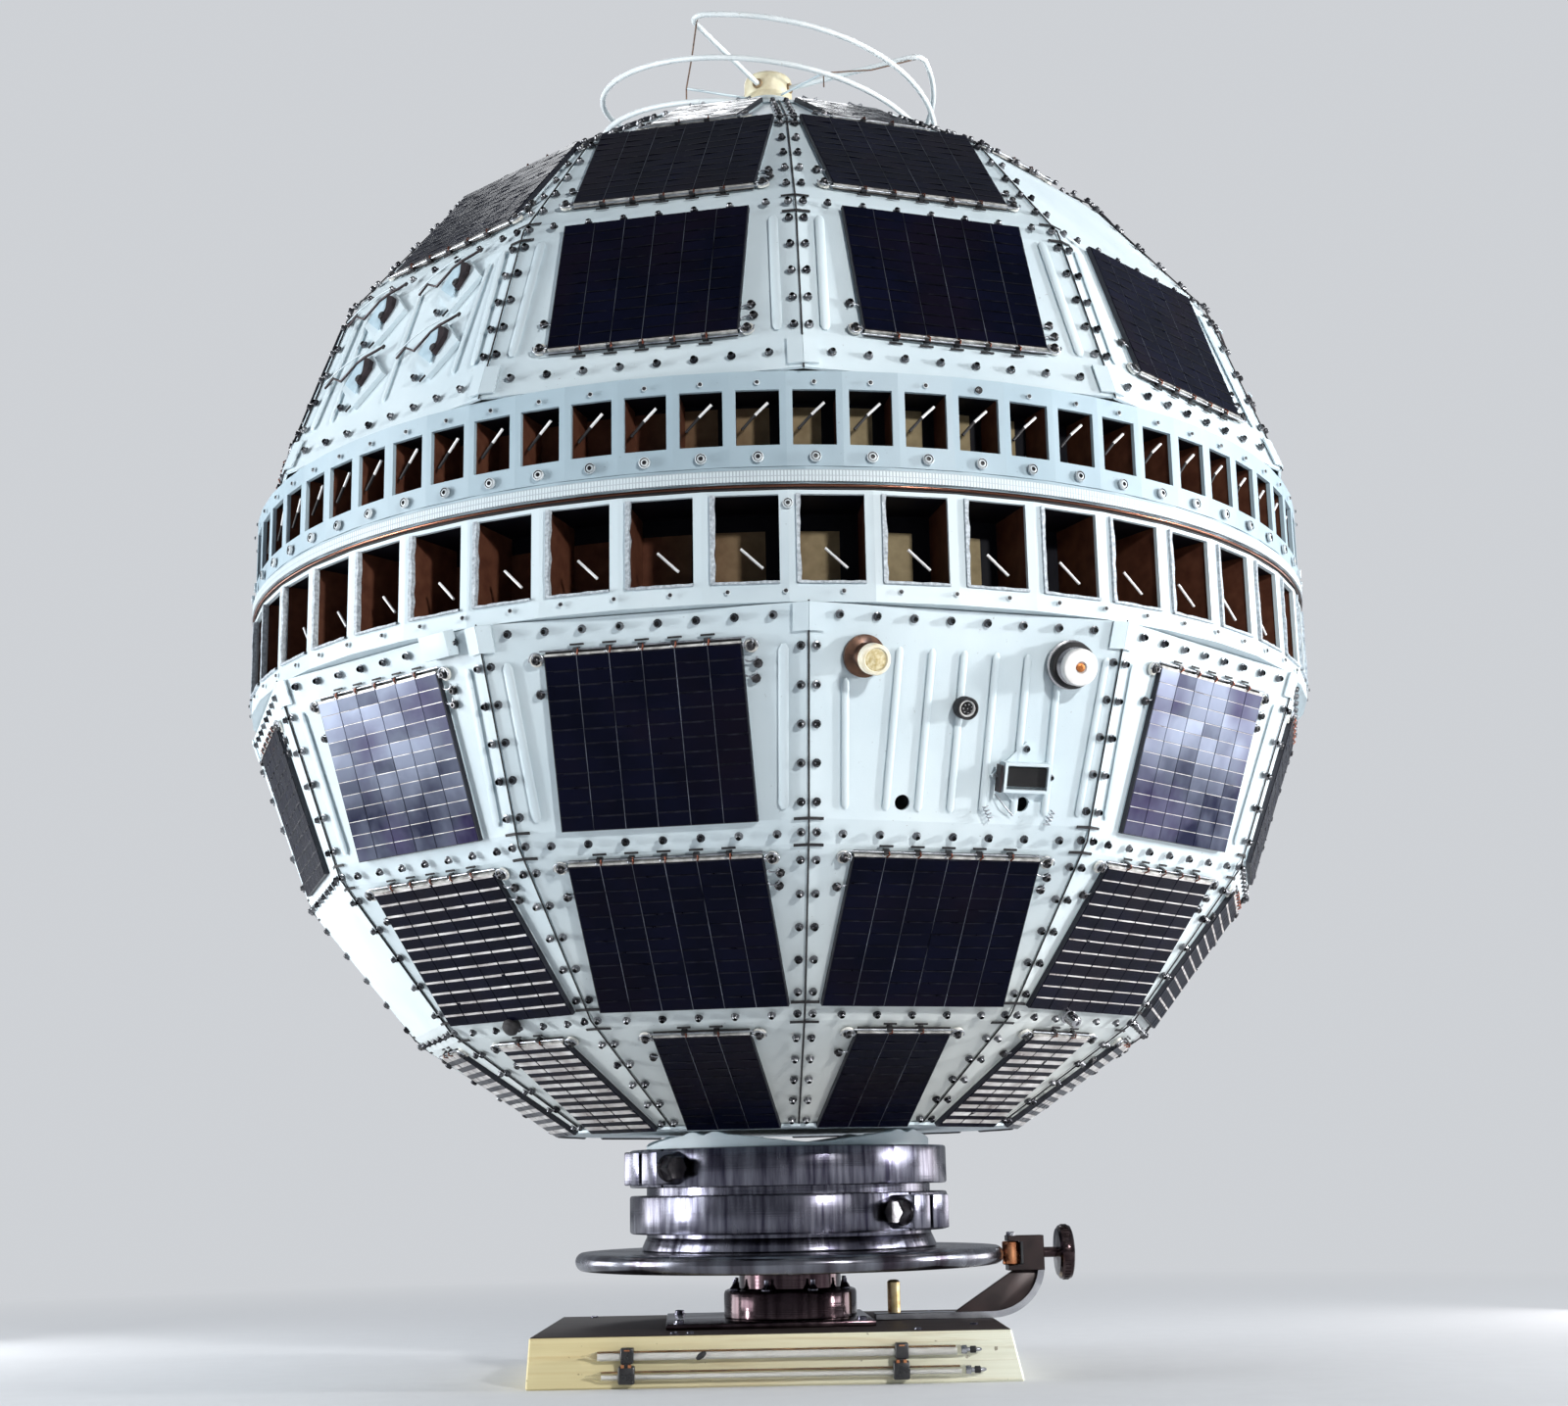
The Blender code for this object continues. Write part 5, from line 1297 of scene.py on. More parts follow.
STRAP_WIDTH, STRAP_THICKNESS, STRAP_FROM, STRAP_TO = 0.019, 0.0016, 0.070, 0.176
STRAP_LINE, STRAP_SCREWS = mm((1.2, 100, 0.2), (84, 103, 122, 141, 160))
STRAP_SCREW_SIDE = 0.0052
# The hooks of one gore: how far across, and how far each leans
HOOKS = ((-0.030, 0.004), (-0.012, -0.003), (0.008, 0.005), (0.027, -0.004))
TOP_RADIUS = corner(3, True)[0]
straps, hooks, strap_slots, strap_screws = [], [], [], []
for number in range(GORES):
    seam = turn(number * GORE_ANGLE)
    middle = seam @ moved(0, -(STRAP_FROM + STRAP_TO) / 2, COVER_TOP)
    straps.append(sized(middle, STRAP_WIDTH, STRAP_TO - STRAP_FROM, STRAP_THICKNESS))
    for reach in STRAP_SCREWS:
        for side in (-STRAP_SCREW_SIDE, STRAP_SCREW_SIDE):
            strap_screws.append(seam @ moved(side, -reach, COVER_TOP + STRAP_THICKNESS))
    line = seam @ moved(0, -(STRAP_FROM + STRAP_TO) / 2, COVER_TOP + STRAP_THICKNESS)
    strap_slots.append(sized(line, *STRAP_LINE))
    gore_middle = turn((number + 0.5) * GORE_ANGLE)
    rim = TOP_RADIUS * math.cos(math.radians(GORE_ANGLE / 2))
    for across, lean in HOOKS:
        foot = gore_middle @ Vector((across, -rim + 0.004, COVER_TOP - 0.001))
        top = gore_middle @ Vector((across + lean, -rim + 0.002, COVER_TOP + 0.0062))
        end = gore_middle @ Vector((across + 2.2 * lean, -rim + 0.001, COVER_TOP + 0.0030))
        hooks.append([foot, top, end])
add_tiles("cover_straps", straps, trim_paint)
add_tiles("cover_strap_lines", strap_slots, slot_black)
add_shapes("cover_strap_screws", strap_screws, screw_shape(), screws, 4, 61)
add_wires("cover_hooks", hooks, 0.0008, rail_silver, 6)


# The connectors of the bare lower facet
# Two coaxial sockets stand on threaded barrels under white caps, with a round multi-pin socket
# and a rectangular port between them, and small coils of wire at the port's foot.

CONNECTOR_GORE = 1
LEFT_COAX, RIGHT_COAX, ROUND_SOCKET, PORT = (-0.072, 0.034), (0.072, 0.032), (0.0, 0.064), (0.047, 0.108)
# The port's liner: its width, height and depth, and how far its middle stands out
PIN_CIRCLE, PIN_LIFT, OUTER_PINS, PORT_SCREW_LIFT = 0.0028, 0.005, 7, 0.002
PORT_SCREWS = mm((19, 0), (-19, 0), (0, -18.5))
# The coils at the port: how far left and up they lie, and their lean; and a bent wire beside them
COILS, PORT_WIRE = ((-0.027, 0.020, 30), (0.022, 0.022, -20)), mm((20, 12, 2), (13, 20, 4), (6, 26, 2))
COIL_STEPS, COIL_SIDES = 48, 12
SPRING_RADIUS, SPRING_RISE, SPRING_LIFT, RIGHT_COAX_SCALE = 0.0018, 0.00022, 0.0020, 1.14
CHEEK_PLACE, CHEEK_SIZE = mm((19.6, 1, 6), (1.6, 18, 8))
PORT_LINER, PORT_SCREW_SCALE = (0.0282, 0.0126, 0.0033, 0.00375), 0.8


def at_connector(spot, height=0.0):
    return on_facet(CONNECTOR_GORE, False, 0, spot[0], spot[1], height)


def add_turned(name, profile, place, finish, sides=48, body="table", sharp=30, replaced=None):
    """A turned piece moved to its place; it may stand for a node."""
    bm = lathe(profile, sides)
    bmesh.ops.transform(bm, matrix=place, verts=bm.verts)
    obj = add_mesh(name, bm, finish, body, sharp)
    if replaced is not None:
        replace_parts(obj, replaced)
    return obj


def add_box(name, place, size, finish):
    box = bmesh.new()
    bmesh.ops.create_cube(box, size=1, matrix=sized(place, *size))
    return add_mesh(name, box, finish)


def ring_threads(radius, low, high, pitch, depth):
    """A threaded stretch as close rings."""
    points = []
    for step in range(int((high - low) / pitch)):
        points += [(radius - depth, low + step * pitch), (radius, low + (step + 0.5) * pitch)]
    return points


barrel_brown = tarnished("barrel_brown", (0.008, 0.006, 0.008), (0.20, 0.105, 0.065), 0.3, 120, metallic=0.7)
port_black = tarnished("port_black", (0.001, 0.001, 0.002), (0.003, 0.003, 0.004), 0.8, metallic=0.0)
socket_chrome = tarnished("socket_chrome", (0.30, 0.30, 0.32), (0.62, 0.62, 0.64), 0.16, 90)
cap_ivory = tarnished("cap_ivory", (0.70, 0.62, 0.42), (0.82, 0.79, 0.68), 0.35, 260, metallic=0.0)
cap_yellow = tarnished("cap_yellow", (0.42, 0.30, 0.09), (0.78, 0.72, 0.50), 0.35, 420, metallic=0.1)
cap_white = tarnished("cap_white", (0.72, 0.70, 0.68), (0.84, 0.84, 0.84), 0.35, 150, metallic=0.0)
pin_copper = tarnished("pin_copper", (0.40, 0.12, 0.03), (0.62, 0.26, 0.10), 0.3, 400)

left = at_connector(LEFT_COAX)
add_turned("coax_left_barrel", mm((0, 0), (14, 0), (14, 2.6), (10.8, 3.2), (9.2, 4))
           + ring_threads(0.0090, 0.0042, 0.0150, 0.0012, 0.0005) + mm((8.4, 15.2), (8.4, 17.2), (0, 17.2)),
           left, barrel_brown, replaced="coax_left")
add_turned("coax_left_cap", mm((6, 16.8), (9.6, 16.8), (10.1, 17.6), (10.1, 23.8), (9.5, 24.7), (7.8, 25),
                               (7.2, 24.3)), left, cap_ivory)
add_turned("coax_left_face", mm((7.3, 24), (6.2, 24.3), (3, 24), (1.2, 24.6), (0, 24.6)), left, cap_yellow)
right = at_connector(RIGHT_COAX) @ Matrix.Diagonal((RIGHT_COAX_SCALE, RIGHT_COAX_SCALE, 1, 1))
add_turned("coax_right_barrel", mm((0, 0), (14.2, 0), (14.5, 1), (14.5, 3), (12.8, 3.6))
           + ring_threads(0.0112, 0.0040, 0.0120, 0.0013, 0.0006) + mm((10, 12.2), (10, 15), (0, 15)), right,
           socket_chrome, replaced="coax_right")
add_turned("coax_right_ring", mm((13, 4.4), (13.7, 5.2), (13.7, 8), (13, 8.8), (10.4, 8.8)), right,
           slot_black)
add_turned("coax_right_cap", mm((8, 14), (10.4, 14), (10.9, 14.8), (10.9, 18.4), (10.2, 19.6), (8, 20),
                                (3.6, 19.6), (3, 18), (0, 18)), right, cap_white)
add_turned("coax_right_pin", mm((2.6, 18), (2.6, 19.2), (1.3, 19.6), (1.1, 20), (0, 20)), right, pin_copper)
middle = at_connector(ROUND_SOCKET)
add_turned("round_socket_body", mm((0, 0), (7.4, 0), (7.5, 1.2), (7.5, 8), (7, 9), (6.2, 9), (5.8, 7.2),
                                   (5.8, 5.2), (0, 5.2)), middle, slot_black,
           replaced="round_connector")
add_turned("round_socket_ring", mm((5, 5), (5.6, 5.2), (5.6, 7.2), (5, 7.6), (4.5, 7), (4.5, 5)), middle,
           cap_white)
pins = [middle @ moved(PIN_CIRCLE * math.cos(angle), PIN_CIRCLE * math.sin(angle), PIN_LIFT)
        for angle in [math.tau * step / OUTER_PINS for step in range(OUTER_PINS)]]
pins.append(middle @ moved(0, 0, PIN_LIFT))
pin = lathe(mm((0.55, 0), (0.55, 2.6), (0.3, 3.1), (0, 3.1)), 8)
add_shapes("round_socket_pins", pins, pin, socket_chrome)
port = at_connector(PORT)
add_box("port_insert", port @ moved(0, 0, PORT_LINER[3]), PORT_LINER[:3], port_black)
dress(trim_paint, "port_bracket")
port_screws = [port @ moved(x, y, PORT_SCREW_LIFT) for x, y in PORT_SCREWS]
add_shapes("port_screws", [sized(spot, PORT_SCREW_SCALE) for spot in port_screws], screw_shape(), screws,
           3, 71)
add_box("port_cheek", port @ moved(*CHEEK_PLACE), CHEEK_SIZE, reflector_dark)
springs = []
for left_by, up_by, lean in COILS:
    base = port @ moved(-left_by, up_by, PORT_SCREW_LIFT) @ turn(lean)
    coil = []
    for step in range(COIL_STEPS + 1):
        angle = math.tau * step / COIL_SIDES
        coil.append(base @ Vector((SPRING_RADIUS * math.cos(angle), step * SPRING_RISE,
                                   SPRING_LIFT + SPRING_RADIUS * math.sin(angle))))
    springs.append(coil)
springs.append([port @ Vector(point) for point in PORT_WIRE])
add_wires("port_springs", springs, 0.0005, rail_silver, 6)


# The ball's ring and the adapter
# A painted ring under the ball ends in low humps that meet the bottom cover. It sits on a turned
# steel adapter, which widens to a foot on the turntable.

ADAPTER_RADIUS, ADAPTER_WALL, ADAPTER_FOOT, RING_WALL = 0.112, 0.010, 0.013, 0.009
RING_DIP_AZIMUTH, RING_DIP, RING_SHOULDER, RING_STEPS = 7.5, 0.009, 0.0026, 288


def polished(name, dark, bright, roughness, reflection_streak_scale=26.0):
    """Turned and polished steel: soft upright streaks of dark and bright in its colour, which are painted
    reflections and vary its roughness a little, fine turning marks and a few finger marks.
    """
    finish = Finish(name)
    x, y, z = finish.apart()
    angle = x.math("ARCTAN2", y)
    lengthwise = finish.add("ShaderNodeCombineXYZ", [angle, z * 0.6, 0.0])
    reflection_streak = finish.noise(reflection_streak_scale, 4, place=lengthwise).above(0.5, 0.35)
    turning = finish.noise(900, 2, place=finish.stretched(0.02, 0.02, 1))
    smudge = finish.noise(26, 3).above(0.56, 0.2)
    # The upright streaks mix the colour between dark and bright: painted reflections
    colour = finish.mix(reflection_streak, dark, bright)
    rough = roughness + 0.04 * reflection_streak + 0.10 * smudge
    return finish.set(Base_Color=colour, Metallic=1.0, Roughness=rough,
                      Normal=finish.bump(turning, 0.0002, 0.25))


def ring_top(azimuth):
    """The drop of the painted ring's top edge: deep between the humps, none on them."""
    away = abs((azimuth - RING_DIP_AZIMUTH + 45) % 90 - 45)
    if away < 32:
        return RING_DIP + (RING_SHOULDER - RING_DIP) * max(0.0, away - 4) / 28
    hump = 0.5 + 0.5 * math.cos(math.pi * min(1.0, abs(away - 39.5) / 6.5))
    return RING_SHOULDER * (1 - hump)


polished_steel = polished("polished_steel", (0.036, 0.033, 0.055), (0.20, 0.20, 0.24), 0.18)
low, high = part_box("separation_ring")[0].z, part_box("separation_ring")[1].z
ring = bmesh.new()
sections = []
for step in range(RING_STEPS):
    azimuth = 360 * step / RING_STEPS
    top = high - ring_top(azimuth)
    section = ((ADAPTER_RADIUS - RING_WALL, low), (ADAPTER_RADIUS, low), (ADAPTER_RADIUS, top - 0.0006),
               (ADAPTER_RADIUS - 0.0006, top), (ADAPTER_RADIUS - RING_WALL, top))
    sections.append([polar(radius, azimuth, height) for radius, height in section])
loft(ring, sections, closed=True)
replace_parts(add_mesh("painted_ring", ring, white_paint("ring_paint")), "separation_ring")
bottom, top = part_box("adapter_ring")[0].z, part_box("adapter_ring")[1].z
outer, inner, foot = ADAPTER_RADIUS, ADAPTER_RADIUS - ADAPTER_WALL, ADAPTER_RADIUS + ADAPTER_FOOT * 0.3
profile = [(inner, bottom), (foot - 0.0008, bottom), (foot, bottom + 0.0008), (foot, bottom + 0.0020),
           (outer + 0.0012, bottom + ADAPTER_FOOT * 0.62), (outer, bottom + ADAPTER_FOOT * 0.8),
           (outer, top - 0.0008), (outer - 0.0008, top), (inner, top), (inner, bottom)]
adapter = lathe(profile, 144)
bmesh.ops.remove_doubles(adapter, verts=adapter.verts, dist=1e-6)
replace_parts(add_mesh("adapter_turned", adapter, polished_steel, sharp=25), "adapter_ring")


# The clamp bands
# Two split steel bands are drawn round the adapter by hexagon-headed bolts through their lugs.
# Their edges are broken, and the bolts are black.

BAND_THICKNESS, BAND_HEIGHT, BAND_EDGE = 0.013, 0.029, 0.0018
LUG_LENGTH, LUG_THICKNESS, LUG_SPLIT = 0.0225, 0.019, 0.003
HEAD_RADIUS, HEAD_LENGTH, SHANK_RADIUS, BAND_STEPS = 0.010, 0.011, 0.005, 200
# Name, azimuth of the lugs, side of the bolt's head
BANDS = (("clamp_band_lower", 44.5, -1), ("clamp_band_upper", -52.3, 1))


def beveled_box(bm, matrix, width, segments=2):
    """A box placed and sized by the matrix, with its edges rounded."""
    made = bmesh.ops.create_cube(bm, size=1, matrix=matrix)["verts"]
    edges = list({edge for vert in made for edge in vert.link_edges})
    bmesh.ops.bevel(bm, geom=edges, offset=width, segments=segments, profile=0.5, affect="EDGES")


def swept_ring(bm, section, start, end, steps):
    """A section of (radius, height) points carried round from one azimuth to another, closed at its ends."""
    loft(bm, [[polar(radius, start + (end - start) * step / steps, height) for radius, height in section]
              for step in range(steps + 1)], ends=True)


def placed_lathe(bm, profile, sides, place, offset=0.0):
    """Adds a turned shape to a bmesh at a place."""
    shape = lathe(profile, sides, offset)
    bmesh.ops.transform(shape, matrix=place, verts=shape.verts)
    mesh = mesh_from("shape", shape)
    bm.from_mesh(mesh)
    bpy.data.meshes.remove(mesh)


black_bolt = tarnished("black_bolt", (0.006, 0.005, 0.008), (0.030, 0.026, 0.030), 0.12, 140, metallic=0.5)
for name, azimuth, head_side in BANDS:
    low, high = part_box(name)[0].z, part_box(name)[1].z
    inner = ADAPTER_RADIUS + 0.0003
    outer = inner + BAND_THICKNESS
    edge = BAND_EDGE
    section = [(inner, low), (outer - edge, low), (outer - edge * 0.3, low + edge * 0.3), (outer, low + edge),
               (outer, high - edge), (outer - edge * 0.3, high - edge * 0.3), (outer - edge, high),
               (inner, high)]
    half = math.degrees(LUG_SPLIT / 2 / outer)
    band = bmesh.new()
    swept_ring(band, section, azimuth + half, azimuth + 360 - half, BAND_STEPS)
    middle = (low + high) / 2
    lug_middle = outer + LUG_LENGTH / 2 - BAND_EDGE
    for side in (-1, 1):
        place = turn(azimuth) @ moved(side * (LUG_SPLIT + LUG_THICKNESS) / 2, -lug_middle, middle)
        beveled_box(band, sized(place, LUG_THICKNESS, LUG_LENGTH, BAND_HEIGHT - 0.0042), 0.0011)
    piece = add_mesh(f"{name}_body", band, polished_steel, sharp=28)
    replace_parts(piece, name)
    bolt = bmesh.new()
    reach = LUG_SPLIT / 2 + LUG_THICKNESS
    axis = turn(azimuth) @ moved(head_side * reach, -lug_middle, middle)
    axis = axis @ tipped("Y", 90 * head_side)
    placed_lathe(bolt, [(0, 0), (HEAD_RADIUS * 1.02, 0), (HEAD_RADIUS * 1.02, 0.0013),
                        (HEAD_RADIUS * 0.9, 0.0016)], 32, axis)
    placed_lathe(bolt, [(HEAD_RADIUS, 0.0014), (HEAD_RADIUS, HEAD_LENGTH * 0.88),
                        (HEAD_RADIUS * 0.87, HEAD_LENGTH), (0, HEAD_LENGTH)], 6, axis, math.radians(30))
    back = turn(azimuth) @ moved(-head_side * reach, -lug_middle, middle)
    back = back @ tipped("Y", -90 * head_side)
    threads = [(0, 0), (SHANK_RADIUS, 0)] + ring_threads(SHANK_RADIUS, 0.0004, 0.0046, 0.0009, 0.0004)
    placed_lathe(bolt, threads + [(SHANK_RADIUS * 0.8, 0.005), (0, 0.005)], 24, back)
    add_mesh(f"{name}_bolt", bolt, black_bolt, sharp=25)


# The turntable and its bearing
# A thick polished disc with a rounded rim turns on a dark bearing housing, which is screwed to a
# steel plate on the base.

DISC_RADIUS, SHOULDER_SCREW_RADIUS, SHOULDER_SCREW_START, SHOULDER_SCREWS = 0.168, 0.0462, -70.6, 8
PEDESTAL_RADIUS, PEDESTAL_NECK, PEDESTAL_HEIGHT, SHOULDER_DROP = 0.052, 0.040, 0.027, 0.006
PLATE_EDGE, PLATE_SCREW_INSET = 0.0008, 0.010

bottom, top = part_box("turntable_disc")[0].z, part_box("turntable_disc")[1].z
half, middle = (top - bottom) / 2, (top + bottom) / 2
profile = [(0, bottom), (DISC_RADIUS - 0.024, bottom), (DISC_RADIUS - 0.0235, bottom + 0.0008),
           (DISC_RADIUS - 0.0225, bottom + 0.0008), (DISC_RADIUS - 0.0220, bottom),
           (DISC_RADIUS - 0.010, bottom)]
for step in range(13):
    angle = math.radians(-72 + 144 * step / 12)
    profile.append((DISC_RADIUS - half * 0.9 + half * 0.9 * math.cos(angle),
                    middle + half * 0.98 * math.sin(angle)))
profile += [(DISC_RADIUS - 0.016, top), (0, top)]
disc_steel = polished("disc_steel", (0.055, 0.045, 0.058), (0.27, 0.28, 0.32), 0.16, 8)
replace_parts(add_mesh("turntable_plate", lathe(profile, 192), disc_steel, sharp=25),
            "turntable_disc")
pedestal_steel = polished("pedestal_steel", (0.022, 0.013, 0.016), (0.085, 0.060, 0.066), 0.11, 8)
bottom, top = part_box("pedestal")[0].z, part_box("pedestal")[1].z
shoulder = bottom + PEDESTAL_HEIGHT - SHOULDER_DROP
profile = [(0, bottom), (PEDESTAL_RADIUS - 0.0006, bottom), (PEDESTAL_RADIUS, bottom + 0.0006),
           (PEDESTAL_RADIUS, shoulder - 0.0030), (PEDESTAL_RADIUS - 0.0009, shoulder - 0.0009),
           (PEDESTAL_RADIUS - 0.0030, shoulder), (PEDESTAL_NECK + 0.0012, shoulder),
           (PEDESTAL_NECK, shoulder + 0.0012), (PEDESTAL_NECK, top - 0.0006), (PEDESTAL_NECK - 0.0006, top),
           (0, top)]
housing = add_mesh("pedestal_housing", lathe(profile, 128), pedestal_steel, "base", sharp=25)
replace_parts(housing, "pedestal")
shoulder_screws = [Matrix.Translation(polar(SHOULDER_SCREW_RADIUS,
                                            SHOULDER_SCREW_START + 360 / SHOULDER_SCREWS * step, shoulder))
                   for step in range(SHOULDER_SCREWS)]
head = lathe(mm((0, 0), (4.3, 0), (4.4, 1), (2.4, 3.6), (1.8, 5.2), (1.8, 8), (0, 8.3)), 14)
add_shapes("pedestal_screws", shoulder_screws, head, polished_steel, body="base")
low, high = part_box("base_plate")
plate = bmesh.new()
beveled_box(plate, sized(Matrix.Translation((low + high) / 2), *(high - low)), PLATE_EDGE)
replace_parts(add_mesh("base_plate_body", plate, pedestal_steel, "base"), "base_plate")
plate_screws = [moved(x, y, high.z) for x in (low.x + PLATE_SCREW_INSET, high.x - PLATE_SCREW_INSET)
                for y in (low.y + PLATE_SCREW_INSET, high.y - PLATE_SCREW_INSET)]
add_shapes("base_plate_screws", plate_screws, bolt_shape(0.0036, 0.0030, 12, 1.3), polished_steel,
           body="base")


# The rim brake
# A bent strip of chromed steel stands on the base beside the disc, stiffened by a web whose
# near-black brown is painted shade. Its fork, in the same finish, holds a copper roller against the
# rim, and a dark hand knob sets it.

ROLLER_LENGTH, FORK_THICKNESS, BLOCK_WIDTH = 0.018, 0.004, 0.018
ARM_WIDTH, ARM_THICKNESS, ARM_SETBACK, BRAKE_FIT = 0.016, 0.005, 0.043, 0.0003
WEB_THICKNESS, WEB_FOOT, ARM_STEPS = 0.005, 0.033, 24
BRAKE_EDGE, WEB_EDGE, BLOCK_GAP, FORK_REACH = 0.0006, 0.0005, 0.002, 0.0286
# The knob's knurls: how many, their width and depth, where they start and how far short they end
KNURLS, KNURL_SIZE, KNURL_START, KNURL_SHORT = 40, (0.0008, 0.0012), 0.0152, 0.0188


def upright_plate(bm, outline, width, edge):
    """A plate with this outline in the XZ plane, centred on y = 0, its long edges broken."""
    faces = loft(bm, [[(x, y, z) for x, z in outline] for y in (width / 2, -width / 2)], ends=True)
    rims = [side for face in faces for side in face.edges]
    bmesh.ops.bevel(bm, geom=rims, offset=edge, segments=2, profile=0.5, affect="EDGES")


arm_low, arm_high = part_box("brake_arm")
roller_low, roller_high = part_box("brake_roller")
rim = (roller_low.z + roller_high.z) / 2
floor, end_x = arm_low.z, arm_high.x
inside, outside = ROLLER_LENGTH / 2 + BRAKE_FIT, ROLLER_LENGTH / 2 + BRAKE_FIT + FORK_THICKNESS
block_x, fork_x = roller_high.x + BLOCK_GAP, arm_high.x - FORK_REACH
start_x, drop = end_x - ARM_SETBACK, rim - inside - floor
outer_line, inner_line = [], []
for step in range(ARM_STEPS + 1):
    angle = math.radians(90 * step / ARM_STEPS)
    outer_line.append((start_x + ARM_SETBACK * math.sin(angle), floor + drop * (1 - math.cos(angle))))
    inner_line.append((start_x + (ARM_SETBACK - ARM_THICKNESS) * math.sin(angle),
                       floor + ARM_THICKNESS + (drop - ARM_THICKNESS) * (1 - math.cos(angle))))
strip = [(arm_low.x, floor)] + outer_line + list(reversed(inner_line)) + [(arm_low.x, floor + ARM_THICKNESS)]
arm = bmesh.new()
upright_plate(arm, strip, ARM_WIDTH, BRAKE_EDGE)
arm_chrome = tarnished("arm_chrome", (0.30, 0.30, 0.33), (0.58, 0.59, 0.62), 0.12, 60)
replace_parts(add_mesh("brake_strip", arm, arm_chrome, "base", 25), "brake_arm")
# Near-black brown: painted shade on the web; the fork shares this finish
shaded_web_steel = tarnished("shaded_web_steel", (0.010, 0.005, 0.006), (0.030, 0.014, 0.014), 0.3, 40, metallic=0.4)
web = bmesh.new()
sunk = ARM_THICKNESS * 0.4
curve = [(x - sunk, z + sunk) for x, z in outer_line[4:21]]
upright_plate(web, [(start_x - WEB_FOOT, floor + sunk), (start_x, floor + sunk)] + curve
              + [(end_x - ARM_THICKNESS, rim - outside + sunk),
                 (block_x - ARM_THICKNESS, rim - outside + sunk)], WEB_THICKNESS, WEB_EDGE)
fork = [(fork_x, rim + inside), (block_x, rim + inside), (block_x, rim - inside), (fork_x, rim - inside),
        (fork_x, rim - outside), (end_x, rim - outside), (end_x, rim + outside), (fork_x, rim + outside)]
upright_plate(web, fork, BLOCK_WIDTH, BRAKE_EDGE)
add_mesh("brake_fork", web, shaded_web_steel, "base", 25)
axle = moved((roller_low.x + roller_high.x) / 2, 0, 0)
radius = (roller_high.x - roller_low.x) / 2
roller_copper = tarnished("roller_copper", (0.42, 0.12, 0.05), (0.74, 0.36, 0.18), 0.2, 90)
add_turned("brake_roller_body", [(0, roller_low.z), (radius - 0.0008, roller_low.z),
                                 (radius, roller_low.z + 0.0008), (radius, roller_high.z - 0.0008),
                                 (radius - 0.0008, roller_high.z), (0, roller_high.z)], axle, roller_copper,
           64, "base", replaced="brake_roller")
axle_bolts = [axle @ moved(0, 0, rim + outside)]
add_shapes("brake_axle_bolt", axle_bolts, bolt_shape(0.0034, 0.0030, 12, 1.2), arm_chrome,
           body="base")
knob_low, knob_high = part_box("brake_knob")
knob_place = moved(end_x, 0, rim) @ tipped("Y")
reach, knob_radius = knob_high.x - end_x, (knob_high.z - knob_low.z) / 2
knob_profile = [(0.004, 0.0003), (0.004, 0.0105), (0.0070, 0.0112), (knob_radius * 0.86, 0.0115),
                (knob_radius * 0.97, 0.0132), (knob_radius, 0.0150), (knob_radius, reach - 0.0034),
                (knob_radius * 0.96, reach - 0.0012), (knob_radius * 0.84, reach),
                (knob_radius * 0.66, reach - 0.0012), (knob_radius * 0.40, reach - 0.0026),
                (0.0050, reach - 0.0024), (0.0044, reach - 0.0010), (0, reach - 0.0008)]
knob_steel = tarnished("knob_steel", (0.030, 0.016, 0.018), (0.10, 0.075, 0.078), 0.10, 70)
add_turned("brake_knob_body", knob_profile, knob_place, knob_steel, 96, "base",
           replaced="brake_knob")
ribs = [knob_place @ turn(360 * step / KNURLS) @ moved(knob_radius, 0, KNURL_START)
        for step in range(KNURLS)]
add_tiles("brake_knob_knurls", [sized(rib, *KNURL_SIZE, reach - KNURL_SHORT) for rib in ribs], knob_steel,
          body="base")
pin_low, pin_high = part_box("stop_pin")
pin_radius = (pin_high.x - pin_low.x) / 2
pin_place = moved((pin_low.x + pin_high.x) / 2, 0, 0)
pin_brass = tarnished("pin_brass", (0.52, 0.36, 0.14), (0.80, 0.66, 0.40), 0.25, 160)
add_turned("stop_pin_body", [(0, pin_low.z), (pin_radius, pin_low.z), (pin_radius, pin_high.z - 0.0020),
                             (pin_radius * 0.8, pin_high.z - 0.0006), (pin_radius * 0.4, pin_high.z),
                             (0, pin_high.z)], pin_place, pin_brass, 40, "base", replaced="stop_pin")


# The pine base
# A planed pine board, yellow at the left and paler at the right, with its grain along it. Its
# top is near black, with old screw heads let into it.

WOOD_TURN, WOOD_DEPTH, WOOD_SHIFT = -2.5, 0.250, -0.0124
WOOD_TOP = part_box("wood_base")[1].z


